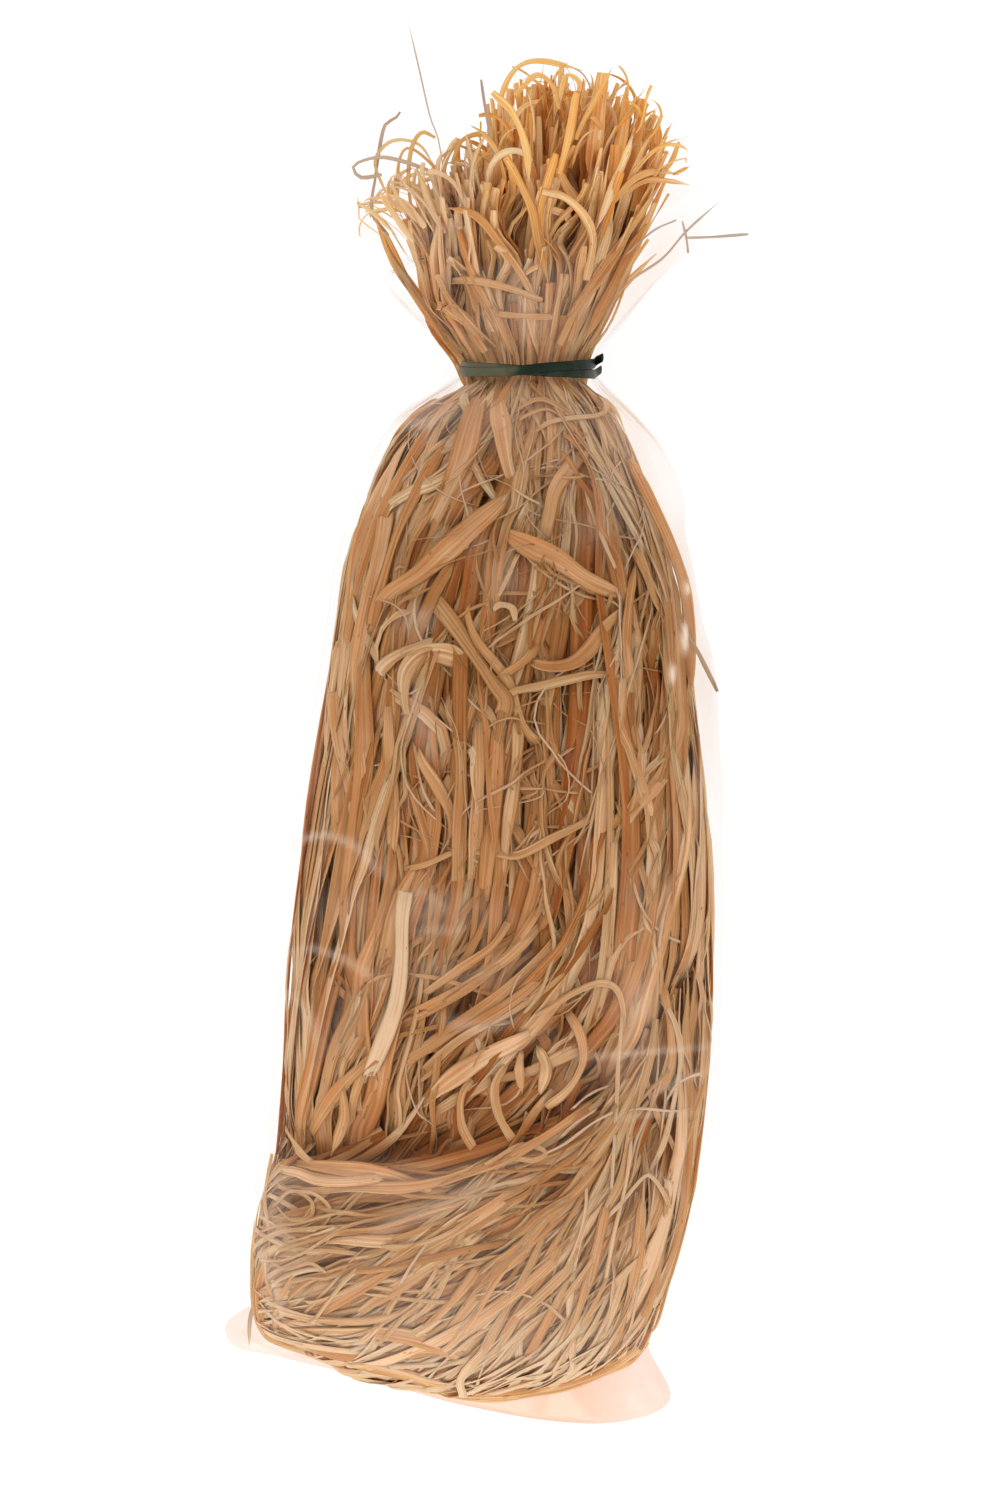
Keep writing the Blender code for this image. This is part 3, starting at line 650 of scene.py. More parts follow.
# Fibre grain: fine streaks along the ribbon, soft blotches, and a few brown flecks
def makeGrainGroup():
    group, given, result = makeGroup("fibreGrain", [("Streaks", "Float", 3.0), ("Blotch", "Float", 0.5)],
                                     [(label, "Float") for label in ("Tone", "Fleck", "Height", "Edge")])

    def maths(operation, *inputs):
        return mathsNode(group, operation, *inputs)

    across, along, serial, tone = (attributeNode(group, n) for n in ("across", "along", "serial", "tone"))
    apart = maths("MULTIPLY", serial, 91)

    def noise(wide, lengthwise, detail):
        join = newNode(group, "ShaderNodeCombineXYZ", {
            "X": maths("MULTIPLY", across, wide), "Y": maths("MULTIPLY", along, lengthwise), "Z": apart})
        inputs = {"Vector": join, "Scale": 1.0, "Detail": detail}
        return newNode(group, "ShaderNodeTexNoise", inputs).outputs["Fac"]

    streak, blotch, fleck = noise(given["Streaks"], 22, 3), noise(0.6, 60, 2), noise(2.2, 260, 1)
    streaked = maths("ADD", tone, maths("MULTIPLY", maths("SUBTRACT", streak, 0.5), 1.15))
    blotched = maths("ADD", streaked, maths("MULTIPLY", maths("SUBTRACT", blotch, 0.5), given["Blotch"]))
    # paler ribbons have paler edges
    warm = maths("SUBTRACT", 1.0, maths("MULTIPLY", tone, 0.75))
    edge = maths("MULTIPLY", maths("POWER", maths("ABSOLUTE", across), 3.0), warm)
    flecked = maths("GREATER_THAN", fleck, 0.74)
    for label, value in (("Tone", blotched), ("Fleck", flecked), ("Height", streak), ("Edge", edge)):
        feed(group, result[label], value)
    return group


# Stains raffia and paints its glow: golden tips from a painted glow of light through them, olive ribbons,
# brown flecks and warmer edges
def makeStainAndGlowGroup():
    colours = ("Inside", "Tips", "Olive Tint", "Fleck Tint", "Edge Tint")
    numbers = [("Edge Share", "Float", 1.15), ("Fleck", "Float", 0.0), ("Edge", "Float", 0.0)]
    group, given, result = makeGroup("fibreStainAndGlow", [(label, "Color", None) for label in colours] + numbers,
                                     [("Colour", "Color")])
    stained = mixNode(group, attributeNode(group, "goldenGlow"), given["Inside"], given["Tips"])
    stained = mixNode(group, attributeNode(group, "olive"), stained, given["Olive Tint"], "MULTIPLY")
    stained = mixNode(group, given["Fleck"], stained, given["Fleck Tint"], "MULTIPLY")
    edge = mathsNode(group, "MULTIPLY", given["Edge"], given["Edge Share"])
    feed(group, result["Colour"], mixNode(group, edge, stained, given["Edge Tint"], "MULTIPLY"))
    return group


grainGroup, stainAndGlowGroup = makeGrainGroup(), makeStainAndGlowGroup()


def raffiaMaterial(name, spec):
    # light soaks through the thin fibres and comes out warmer
    material, tree, shader = newMaterial(name, {
        "Roughness": spec["roughness"], "Specular IOR Level": spec["gloss"],
        "Subsurface Weight": spec["soak"], "Subsurface Radius": (1.0, 0.45, 0.18),
        "Subsurface Scale": spec["soakDepth"] * mm})
    grain = newNode(tree, "ShaderNodeGroup", {"Streaks": spec["streaks"], "Blotch": spec["blotch"]},
                    node_tree=grainGroup).outputs
    inside, tips = (rampNode(tree, grain["Tone"], spec[key]) for key in ("colours", "tips"))
    stain = newNode(tree, "ShaderNodeGroup", {
        "Inside": inside, "Tips": tips, "Olive Tint": (*spec["olive"], 1),
        "Fleck Tint": (*spec["flecks"], 1), "Edge Tint": (*spec["edges"], 1),
        "Fleck": grain["Fleck"], "Edge": grain["Edge"]}, node_tree=stainAndGlowGroup)
    feed(tree, shader["Base Color"], stain)
    bumpOn(tree, shader, grain["Height"], spec["bump"], 0.3 * mm)
    return material


# colours in the bag, and of the tips that stand free above the tie, made golden by a painted glow of light
# through them
driedRaffia = {
    "streaks": 4.0, "blotch": 0.5, "roughness": 0.62, "gloss": 0.03, "soak": 0.42, "soakDepth": 1.5,
    "bump": 0.45, "edges": (0.96, 0.74, 0.48), "olive": (0.87, 1.0, 1.06), "flecks": (0.62, 0.5, 0.42),
    "colours": [(0.0, (0.28, 0.076, 0.015)), (0.38, (0.43, 0.175, 0.060)), (0.68, (0.565, 0.283, 0.131)),
                (1.0, (0.77, 0.470, 0.29))],
    "tips": [(0.0, (0.52, 0.13, 0.010)), (0.38, (0.72, 0.265, 0.055)), (0.68, (0.86, 0.41, 0.14)),
             (1.0, (0.98, 0.67, 0.40))],
}
bagRaffia = raffiaMaterial("raffia_in_bag", driedRaffia)
brushRaffia = raffiaMaterial("raffia_brush", dict(driedRaffia, roughness=0.55))


# the deeper a layer lies, the darker its tone: a painted shade of the inside of the bundle
raffiaLayers = {
    "raffia_deep": {"count": 390, "points": 18, "depth": (6, 11), "length": (120, 220), "width": (6, 11),
                    "wander": 0.10, "cross": 0.10, "tone": (0.12, 0.08), "tilt": 0.2, "cup": 0.10, "sides": 6,
                    "torn": 0.0, "seed": 11, "back": 1.0, "dip": 0},
    "raffia_middle": {"count": 400, "points": 22, "depth": (3.4, 6), "length": (120, 250), "width": (3.6, 8),
                      "wander": 0.14, "cross": 0.14, "tone": (0.24, 0.12), "tilt": 0.35, "cup": 0.12,
                      "sides": 6, "torn": 0.05, "seed": 12, "back": 0.7, "dip": 4},
    "raffia_upper": {"count": 420, "points": 24, "depth": (1.3, 3.4), "length": (110, 250),
                     "width": (3.0, 7.4), "wander": 0.16, "cross": 0.12, "tone": (0.42, 0.17), "tilt": 0.35,
                     "cup": 0.12, "sides": 8, "torn": 0.15, "seed": 13, "back": 0.7, "dip": 6.5},
    "raffia_outer": {"count": 350, "points": 26, "depth": (-0.4, 1.6), "length": (90, 240),
                     "width": (2.2, 6.6), "wander": 0.18, "cross": 0.12, "tone": (0.56, 0.18), "tilt": 0.35,
                     "cup": 0.12, "sides": 8, "torn": 0.3, "seed": 14, "back": 0.8, "dip": 8},
    "raffia_tangle": {"count": 130, "points": 25, "depth": (-0.6, 1.6), "length": (30, 90),
                      "width": (1.0, 4.6), "wander": 0.5, "cross": 0.35, "tone": (0.58, 0.16), "tilt": 0.45,
                      "cup": 0.12, "sides": 8, "torn": 0.3, "seed": 16, "back": 0.2,
                      "only": (-30, 55, -118, 92), "dip": 8},
    "raffia_end": {"count": 280, "points": 22, "depth": (-0.8, 1.2), "length": (30, 95), "width": (1.0, 3.6),
                   "wander": 0.3, "cross": 0.24, "tone": (0.62, 0.14), "tilt": 0.4, "cup": 0.12, "sides": 6,
                   "torn": 0.4, "seed": 17, "back": 0.3, "only": (-72, 62, -205, -128), "dip": 6.5},
    "raffia_fine": {"count": 260, "points": 25, "depth": (-0.8, 1.0), "length": (40, 130),
                    "width": (0.6, 1.5), "wander": 0.4, "cross": 0.18, "tone": (0.68, 0.16), "tilt": 0.5,
                    "cup": 0.1, "sides": 6, "torn": 0.6, "seed": 15, "back": 0.5, "dip": 8},
    "raffia_hairs": {"count": 100, "points": 20, "depth": (-0.9, 0.6), "length": (22, 75),
                     "width": (0.45, 1.1), "wander": 0.9, "cross": 0.8, "tone": (0.74, 0.14), "tilt": 0.5,
                     "cup": 0.1, "sides": 6, "torn": 0.6, "seed": 18, "back": 0.1, "only": (-26, 48, -40, 84),
                     "dip": 6},
}

# how much paler or darker the raffia is at each height, with its pale lowest end painted light; the painted
# light on its steep sides; and the painted shade in the pocket above the fold and in the slots
shading = {
    "byHeight": [(-205, 0.32), (-195, 0.30), (-175, 0.02), (-150, 0.0), (-132, -0.04), (-64, -0.01),
                 (-50, -0.08), (-5, -0.09), (8, -0.17), (52, -0.17), (66, 0.04), (104, 0.04), (130, 0.0)],
    "sides": 0.50, "fold": 0.44, "slotShade": 0.4,
    # the lowest edge of the raffia, painted the palest as painted light on its lower side, and how far up
    # that reaches
    "litEdgeTone": 1.0, "edgeHigh": 15,
    "edge": [(-72, -180), (-66, -187), (-53, -192), (-26, -200), (-2, -205), (22, -202), (45, -193),
             (56, -176)],
}


def layerTone(rows, outs, sink, middle, own):
    x, y = rows[:, :, 0] / mm, rows[:, :, 1] / mm
    above, facing = foldHeight(rows), outs[:, :, 2]
    # painted shade in the pocket just above the fold, on upturned faces, fading out to the right
    pocketShade = smoothStep(9 * mm, 2 * mm, above) * smoothStep(-3 * mm, 1 * mm, above)
    pocketShade = pocketShade * smoothStep(0.2, 0.6, facing) * smoothStep(44 * mm, 34 * mm, rows[:, :, 0])
    # tone by height, with the pale lowest end painted light, and painted light on the steep sides
    pale = readOff(y, shading["byHeight"]) + shading["sides"] * (1 - np.abs(facing))
    # the painted shade of the lower layers is lifted in the folded end, so they are nearly as pale as its
    # upper ones
    middle = middle + 0.45 * (0.62 - middle) * smoothStep(-126, -146, y)
    # the slots and the pocket above the fold are darkened with painted shade
    inside = middle + own + pale - shading["slotShade"] * sink - shading["fold"] * pocketShade
    inside -= 0.5 * np.maximum(inside - 0.75, 0)
    # the lowest edge is painted palest, a painted light on its lower side
    edge = smoothStep(1.0, 0.15, (y - readOff(x, shading["edge"])) / shading["edgeHigh"])
    return (1 - edge) * inside + edge * (shading["litEdgeTone"] + 0.5 * own)


def makeLayer(name, spec):
    rng = np.random.default_rng(spec["seed"])
    rows, outs, before = growRibbons(hankForm, rng, spec)
    rows, outs = cutAtFold(rows, outs, before, rng)
    rows, sink = parted(rows, outs, spec["dip"])
    # the folded end is packed tighter, so its lower layers lie less deep
    up = smoothStep(-128 * mm, -150 * mm, rows[:, :, 1]) * max(np.mean(spec["depth"]), 0) * 0.5 * mm
    rows = drawnIn(rows + outs * up[..., None])
    count, points = rows.shape[:2]
    tilt = slowNoise(rng, count, points, 1.2) * spec["tilt"] + rng.normal(0, spec["tilt"] * 0.5, (count, 1))
    facings = leaned(outs, rows, tilt)
    width = ribbonWidths(rng, count, points, spec["width"], spec["torn"]) * (1 - 0.4 * squeezed(rows))
    cup = spec["cup"] * (0.5 + slowNoise(rng, count, points, 1.5))
    middle, spread = spec["tone"]
    tone = layerTone(rows, outs, sink, middle, rng.normal(0, spread, (count, 1)))
    return ribbonPiece(name, bagRaffia, rows, facings, width, cup, tone, rng, spec["sides"])


pieces = [makeLayer(name, spec) for name, spec in raffiaLayers.items()]


# width or widths along it, tone, how far above the bundle's face, then the points it runs through
laidRibbons = [
    ((5, 7, 6, 4), 0.74, 1.0, [(-1, 99), (-4, 89), (-7, 78), (-12, 66), (-18, 54)]),
    ((4, 6, 5, 2.5), 0.85, 1.2, [(3, 99), (4.5, 88), (6.5, 76), (9, 68)]),
    ((4, 7, 7, 6, 4), 0.70, 3.0, [(11, 71), (4, 64), (-4, 57), (-12, 50), (-20, 43), (-29, 37), (-34, 29)]),
    (4.0, 0.62, 1.0, [(-12, 92), (-22, 78), (-32, 58), (-39, 36), (-43, 15)]),
    (4.4, 0.55, 1.5, [(-8, 88), (-16, 75), (-25, 58), (-32, 36), (-36, 18)]),
    (5.4, 0.80, 1.0, [(-29, 70), (-30, 57), (-33, 42), (-37, 22), (-40, 2)]),
    ((2, 6, 7, 5, 2), 0.72, 3.2, [(1, 58), (12, 52), (22, 47), (31, 41), (43, 36)]),
    ((2, 4.5, 4.5, 3), 0.66, 2.4, [(42, 34), (36, 28), (31, 21), (25, 16.5), (17, 16), (9, 19.5)]),
    (4.6, 0.72, 1.5, [(33, 84), (27, 77), (21, 69), (19, 61), (17, 52)]),
    (1.2, 0.90, 2.5, [(29, 70), (32, 61), (36, 51), (40, 42)]),
    (1.6, 0.74, 1.5, [(6, 90), (12, 94), (17, 95.5), (24, 92), (30, 85)]),
    (1.2, 0.66, 1.5, [(8, 88), (13, 91), (19, 92.5), (25, 88), (28, 82)]),
    (4.6, 0.62, 2.0, [(-17, 38), (-10, 29), (-3, 19), (3, 10), (6, 5), (3, -4)]),
    ((2.5, 3, 4, 6.5, 6.5, 3), 0.82, 2.4, [(-21, -5), (-24, 5), (-23.5, 14), (-18, 19.5), (-10, 19),
                                           (-3.5, 14)]),
    ((1.2, 2.4, 1.4), 0.90, 2.4, [(2, 31), (4, 34), (8, 33), (9, 28)]),
    ((2, 3, 2.6, 1.6), 0.72, 3.4, [(3, 3), (8, 8), (17, 10), (25, 12), (33, 13.5), (46, 13)]),
    (1.5, 0.85, 2.0, [(10, 50), (6, 41), (3, 35)]),
    (3.0, 0.70, 1.5, [(43, 52), (46, 48), (50, 38), (55, 26)]),
    (3.6, 0.62, 1.8, [(45, 48), (43, 36), (42, 22), (44, 5)]),
    (3.2, 0.82, 1.4, [(-41, 41), (-38, 30), (-34, 22), (-29, 14)]),
    (4.2, 0.86, 1.2, [(-45, 14), (-44, -5), (-40, -22), (-37, -35)]),
    (4.0, 0.80, 1.4, [(-38, 8), (-36.5, -8), (-34, -24), (-32, -36)]),
    (3.4, 0.66, 1.6, [(-29, 8), (-28.5, -8), (-27, -24), (-28, -42)]),
    (3.4, 0.84, 0.8, [(-43.5, 24), (-46.5, 4), (-48, -14)]),
    ((4, 5.6, 5.6, 5, 3), 1.12, 8.0, [(-22.5, -45), (-24.5, -58), (-25, -72), (-26.5, -84), (-31, -97),
                                      (-36, -109)]),
    (4.2, 0.62, 1.2, [(-8, 2), (-7, -20), (-8, -38), (-8, -56)]),
    (4.2, 0.72, 1.6, [(-2, 4), (-2, -18), (-3, -36), (-4, -54)]),
    (4.6, 0.60, 1.2, [(4, 2), (3, -20), (1, -38), (-1, -58)]),
    (3.6, 0.68, 1.6, [(10, 4), (9, -15), (6, -36), (4, -52)]),
    (3.6, 0.72, 1.8, [(-21, -5), (-19, -12), (-14, -20), (-10, -28), (-9, -38)]),
    ((1.4, 2, 2.6, 2.6, 2), 0.70, 2.6, [(-28, -45), (-18, -43), (-8, -39), (3, -39.5), (10, -40), (20, -35),
                                        (30, -30), (38, -24)]),
    ((2, 5.6, 5, 2), 0.82, 2.0, [(57, -14), (50, -19), (44, -26), (40, -34), (40, -38)]),
    (3.2, 0.76, 1.6, [(39, -28), (37.5, -45), (37, -60), (36, -76)]),
    (4.0, 0.66, 1.8, [(26, -60), (14, -73), (0, -85), (-16, -96), (-32, -107)]),
    (3.0, 0.72, 2.2, [(17, -60), (6, -71), (-8, -80), (-25, -89)]),
    (3.2, 0.60, 2.2, [(23, -70), (10, -82), (-6, -92), (-26, -102)]),
    (2.6, 0.70, 2.6, [(8, -58), (2, -67), (-8, -74), (-22, -84)]),
    (2.4, 0.64, 2.0, [(18, -52), (12, -62), (2, -74), (-12, -84), (-28, -92)]),
    (2.8, 0.74, 2.0, [(30, -66), (20, -77), (8, -86), (-8, -95), (-22, -108)]),
    ((1.2, 1.8, 2, 1.6), 0.80, 3.0, [(8, -90), (18, -86), (26, -81), (34, -78), (39, -80), (41, -87),
                                     (41, -96)]),
    ((3, 5, 6, 5, 3), 0.86, 2.8, [(17, -91), (8, -96), (-2, -101), (-12, -108), (-20, -115)]),
    ((2, 4, 2), 0.88, 2.4, [(15, -96), (18, -103), (16, -111)]),
    ((1.6, 3, 1.6), 0.82, 2.2, [(11, -97), (10, -104), (11, -111)]),
    (2.6, 0.70, 2.0, [(-2, -104), (-7, -111), (-7, -120), (-3, -128)]),
    (2.8, 0.72, 2.0, [(8, -100), (3, -108), (4, -117), (9, -126)]),
    (2.8, 0.76, 2.2, [(24, -86), (28, -93), (29, -101), (25, -109), (18, -115)]),
    (3.4, 0.70, 1.6, [(52, -78), (55, -90), (55, -103), (50, -112)]),
    (4.0, 0.70, 1.6, [(-29, -97), (-38, -104), (-46, -113), (-52, -123)]),
    (3.0, 0.72, 1.8, [(-40, -96), (-43, -106), (-42, -118), (-46, -130)]),
    (2.2, 0.80, 1.6, [(-60, -122), (-55, -129), (-50, -133)]),
    ((2, 4, 4.4, 4, 2), 0.70, 2.2, [(-61, -132), (-45, -133), (-30, -134.5), (-20, -138), (-10, -142)]),
    ((2, 3, 3.6, 3, 2), 0.76, 2.8, [(-58, -141), (-40, -139), (-22, -138.5), (-8, -135), (4, -129)]),
    (1.4, 0.80, 3.4, [(-5, -135), (3, -130), (10, -126), (15, -126.5), (18, -128.5), (14, -130.5), (7, -130),
                      (0, -134)]),
    (3.0, 0.64, 2.0, [(34, -113), (20, -122), (6, -130), (-10, -136), (-24, -140)]),
    ((3, 5, 5, 3), 0.74, 2.2, [(14, -136), (-2, -147), (-20, -157), (-38, -169), (-57, -181)]),
    ((2, 4.6, 4, 2), 0.80, 2.0, [(2, -150), (-14, -161), (-30, -171), (-44, -181)]),
    ((2, 4, 4, 2), 0.70, 1.8, [(14, -150), (4, -163), (-7, -177), (-16, -190)]),
    (1.8, 0.86, 2.4, [(-11, -157), (-19, -171), (-29, -183), (-36, -190)]),
    (3.0, 0.66, 1.8, [(0, -160), (-9, -172), (-22, -186)]),
    (4.4, 0.60, 2.0, [(20, -142), (12, -155), (1, -164), (-9, -171)]),
    (3.4, 0.68, 1.8, [(24, -150), (16, -166), (8, -180), (0, -193)]),
    ((3, 5, 5.5, 5, 3), 0.84, 2.0, [(-63, -184), (-45, -183), (-28, -183), (-15, -186), (-6, -191),
                                    (0, -196)]),
    ((2, 4, 4, 2), 0.72, 1.6, [(-59, -187.5), (-45, -190), (-30, -190.5), (-16, -189), (-8, -190)]),
    ((2, 3.6, 4, 2), 0.62, 1.4, [(-47, -192), (-36, -194), (-22, -198), (-8, -201.5)]),
    (3.4, 0.72, 1.8, [(37, -138), (33, -158), (28, -176), (22, -192)]),
    (3.6, 0.76, 1.6, [(47, -136), (45.5, -158), (42, -176), (38, -190)]),
    (3.4, 0.70, 1.6, [(55, -132), (54, -150), (51, -168), (45, -186)]),
    (3.0, 0.66, 1.8, [(30, -150), (24, -168), (16, -184), (10, -196)]),
    (1.1, 0.84, 2.4, [(-63, -135), (-59, -140), (-51, -141), (-46, -146), (-50, -151.5), (-59, -151)]),
    (1.0, 0.80, 2.6, [(-64, -146), (-58, -140.5), (-52, -143), (-52, -148), (-58, -149), (-63, -145)]),
    (1.1, 0.88, 2.2, [(-64, -130), (-66, -143), (-64.5, -155), (-66, -166), (-62, -178)]),
    (1.3, 0.80, 2.2, [(-66, -153), (-58, -157.5), (-46, -158), (-36, -159)]),
    (1.0, 0.86, 2.4, [(-67, -160), (-60, -164), (-52, -162), (-46, -166)]),
    # fine pale hairs over the right side of the folded end
    (1.2, 0.98, 5.0, [(40.5, -80), (40.3, -91), (39.4, -102), (39, -113), (38, -130), (37, -148)]),
    ((1.2, 2.2, 2, 1.2), 0.95, 5.0, [(49, -80), (55.5, -88), (58.2, -99), (56.6, -111), (53, -126),
                                     (48, -136)]),
    (0.9, 0.98, 6.0, [(53, -115), (56.6, -109), (61, -106.5), (66, -105.5)]),
    (0.8, 1.0, 6.0, [(38, -117), (46, -115.5), (56, -116.5), (64, -116)]),
    ((0.8, 1.5, 1.5, 0.8), 0.98, 5.0, [(33, -151), (40, -144), (47, -136), (50, -136.5), (54, -143),
                                       (57, -154)]),
    (1.3, 0.95, 4.0, [(44, -118), (42, -136), (38, -154), (35, -172)]),
    (0.8, 0.95, 5.0, [(21, -125), (27, -119.5), (34, -115)]),
    (0.7, 0.95, 5.0, [(25, -116), (31, -111), (38, -108)]),
    (0.8, 1.0, 5.0, [(14, -130), (23, -126), (32, -119.5), (42, -114.5)]),
    (0.9, 0.95, 5.0, [(43, -44), (46, -55), (52, -63), (60, -67)]),
    (0.9, 0.95, 5.0, [(63, -40), (57, -48), (53, -58), (51, -72)]),
    (1.0, 0.95, 5.0, [(28, -128), (30, -142), (27, -156), (20, -170)]),
    (0.9, 1.0, 5.0, [(0, -143), (-12, -150), (-22, -162), (-30, -178)]),
    (0.9, 0.98, 5.0, [(-8, -172), (6, -170), (18, -174), (26, -182)]),
]
# Ribbons round the lower left corner: width, tone, then x, y and z
cornerRibbons = [
    (3.0, 0.80, [(-60, -150, 52), (-67, -168, 37), (-67.5, -180, 26), (-64, -186.5, 19), (-55, -189.5, 17),
                 (-42, -193, 18)]),
    (2.4, 0.70, [(-59, -160, 50), (-65.5, -174, 34), (-65.5, -183, 25), (-60, -187.5, 20),
                 (-48, -190.5, 20)]),
    (3.2, 0.86, [(-66, -160, 40), (-68.5, -172, 29), (-67.5, -182, 20), (-62, -188, 13), (-50, -192, 12),
                 (-36, -196.5, 12)]),
    (2.0, 0.75, [(-68, -158, 30), (-69.5, -172, 21), (-68, -182, 14), (-63, -187.5, 10), (-52, -191.5, 9)]),
    (2.6, 0.66, [(-67, -160, 21), (-68.5, -174, 14), (-66, -184, 10), (-56, -190, 8), (-40, -195.5, 8)]),
    (2.8, 0.78, [(-57, -166, 53), (-62.5, -178, 39), (-61.5, -185, 28), (-54, -188.5, 25), (-44, -190, 27)]),
    (1.8, 0.84, [(-69.5, -150, 34), (-70, -166, 28), (-69.5, -178, 20), (-66, -186.5, 14), (-58, -190, 11)]),
    # and along the lower edge, toned palest as painted light on the lower side
    (3.0, 0.98, [(-66, -183, 24), (-52, -189.5, 21), (-36, -195, 20), (-20, -199.5, 20)]),
    (2.6, 0.92, [(-56, -190, 13), (-40, -196.5, 12), (-24, -201, 11), (-8, -204.5, 12)]),
    (3.2, 1.0, [(-34, -197, 18), (-18, -201.5, 17), (-4, -204, 17), (10, -203.5, 17)]),
    (2.6, 0.96, [(-20, -200.5, 23), (-6, -203, 23), (8, -203, 23), (22, -200, 24)]),
    (3.0, 1.0, [(-6, -205, 13), (8, -204.5, 12), (24, -201.5, 12), (36, -197, 15)]),
    (2.8, 0.94, [(12, -203, 18), (26, -199.5, 20), (38, -195, 23), (46, -189, 29)]),
    (2.4, 1.0, [(20, -202.5, 10), (32, -199, 11), (43, -194, 14), (49, -187.5, 21)]),
    # and down the right shoulder
    (4.0, 0.66, [(44, 76, 50), (50, 64, 51), (55.5, 52, 50), (59.5, 40, 48), (61, 28, 47), (60.5, 14, 46),
                 (58, -4, 48)]),
    (3.0, 0.80, [(43, 78, 46), (49, 67, 46), (55, 54, 45), (59.6, 42, 43), (61, 30, 42), (60, 14, 42)]),
    (2.8, 0.60, [(49, 66, 41), (55, 53, 39), (59.4, 41, 37), (60.8, 27, 36), (60, 8, 38)]),
]


# Height of the front face and the way it faces, for points given in x and y
def onFront(form, flatPoints, fallback):
    heights, out = np.empty(len(flatPoints)), np.empty((len(flatPoints), 3))
    known = (fallback * mm, (0, 0, 1))
    for i, (x, y) in enumerate(flatPoints):
        place, normal = fromAbove(form["tree"], x, y)
        known = (place[2], np.array(normal)) if place is not None else known
        heights[i], out[i] = known
    return heights, out


# Just under the film's front, for points given in x and y
def underFilm(flatPoints):
    hits = [fromAbove(filmTree, x, y)[0] if y < 150 * mm else None for x, y in flatPoints]
    return np.array([1.0 if hit is None else hit.z - 1.4 * mm for hit in hits])


# how deep the ends of laid ribbons are tucked in, over what share of their length, how far they rise
# between them, how much more for each step of their own, and how wavy, cupped and tilted they are
laying = {"tuck": 4.5, "share": 0.16, "rise": 4.4, "step": 0.2, "wave": 0.6, "cup": 0.12, "tilt": 0.4,
          "rounds": 12}  # how often their heights are eased


# Ribbons given in x and y follow the front face, those with a z as well run just as they are given
def layRibbons(name, material, listed, points, seed, shade=0.0, fallback=45):
    rng = np.random.default_rng(seed)
    rows, facings, widths, cups, tones = [], [], [], [], []
    t = np.linspace(0, 1, points)
    for width, tone, *above, places in listed:
        flat = smoothPath(places, points) * mm
        if flat.shape[1] == 3:
            row, out = flat, np.tile((0.0, 0.0, 1.0), (points, 1))
        else:
            height, out = onFront(hankForm, flat, fallback)
            tuck = np.clip(np.minimum(t, 1 - t) / laying["share"], 0, 1) ** 0.8
            rise = -laying["tuck"] + (laying["step"] * above[0] + laying["rise"]) * tuck
            rise = rise + slowNoise(rng, 1, points, 2.0)[0] * laying["wave"]
            row = np.column_stack([flat, eased(height, laying["rounds"]) + rise * mm])
            row[:, 2] = np.minimum(row[:, 2], underFilm(flat))
            out = unit(eased(out, laying["rounds"]) + (0, 0, 0.5))
        rows.append(row)
        facings.append(out)
        given = np.atleast_1d(width)
        along = np.interp(t, np.linspace(0, 1, len(given)), given)
        widths.append(ribbonWidths(rng, 1, points, (1, 1), 0.2)[0] * along)
        cups.append(laying["cup"] * (0.4 + slowNoise(rng, 1, points, 1.2)[0]))
        tones.append(tone)
    rows, facings, widths, cups, tones = (np.array(v) for v in (rows, facings, widths, cups, tones))
    facings = leaned(facings, rows, slowNoise(rng, len(rows), points, 1.0) * laying["tilt"])
    return ribbonPiece(name, material, rows, facings, widths, cups, tones + shade, rng)


laid = layRibbons("raffia_laid", bagRaffia, laidRibbons + cornerRibbons, 34, 21, -0.12)
pieces.append(laid)


brush = {
    "count": 840, "points": 19, "seed": 31,
    "neckMiddle": (12.6, 104, 34.5), "neckHalf": (17.0, 16.5),
    "topMiddle": (14.0, 41.0), "topHalf": (46.0, 33.0), "height": 82,
    # how far up the brush reaches, by x, and how much lower its rim is in front
    "topLine": [(-34, 151), (-28, 158), (-22, 161), (-14, 164), (-9, 170), (-3, 173), (1, 186), (6, 191),
                (12, 194), (30, 195), (38, 193), (46, 188), (52, 182), (58, 173), (61, 164)],
    "frontDip": [(-30, 10), (-8, 12), (4, 36), (30, 34), (52, 16)],
    "width": (1.4, 4.6), "torn": 0.12, "cup": 0.22, "tone": (0.72, 0.10), "leftPaler": 0.50,
    # which way the left lobe leans and how far it spreads, how much lower a tip may end, how far tips curl,
    # how much further a few of them do and how many, how much all waver, and how deep they dip at a slot
    "lobe": (math.pi * 0.92, 0.55), "lower": 26, "curl": 1.6, "curlMore": 2.2, "fewCurl": 0.2, "waver": 0.8,
    "dip": 3.6,
}


# Half width and half depth of the brush at a share of its height, and the middle of it
def brushSize(share):
    grow = np.clip(share, 0, 1) ** 0.8
    neckHalf, topHalf = np.array(brush["neckHalf"]), np.array(brush["topHalf"])
    middle = np.array([brush["neckMiddle"][0], brush["neckMiddle"][2]])
    half = neckHalf + (topHalf - neckHalf) * np.asarray(grow)[..., None]
    return half, middle + (np.array(brush["topMiddle"]) - middle) * np.asarray(grow)[..., None]


# Height of the brush's front over a point, in mm
def brushFront(x, y):
    half, middle = brushSize((y - brush["neckMiddle"][1]) / brush["height"])
    side = np.clip((x - middle[..., 0]) / half[..., 0], -0.97, 0.97)
    return middle[..., 1] + half[..., 1] * np.sqrt(1 - side ** 2)


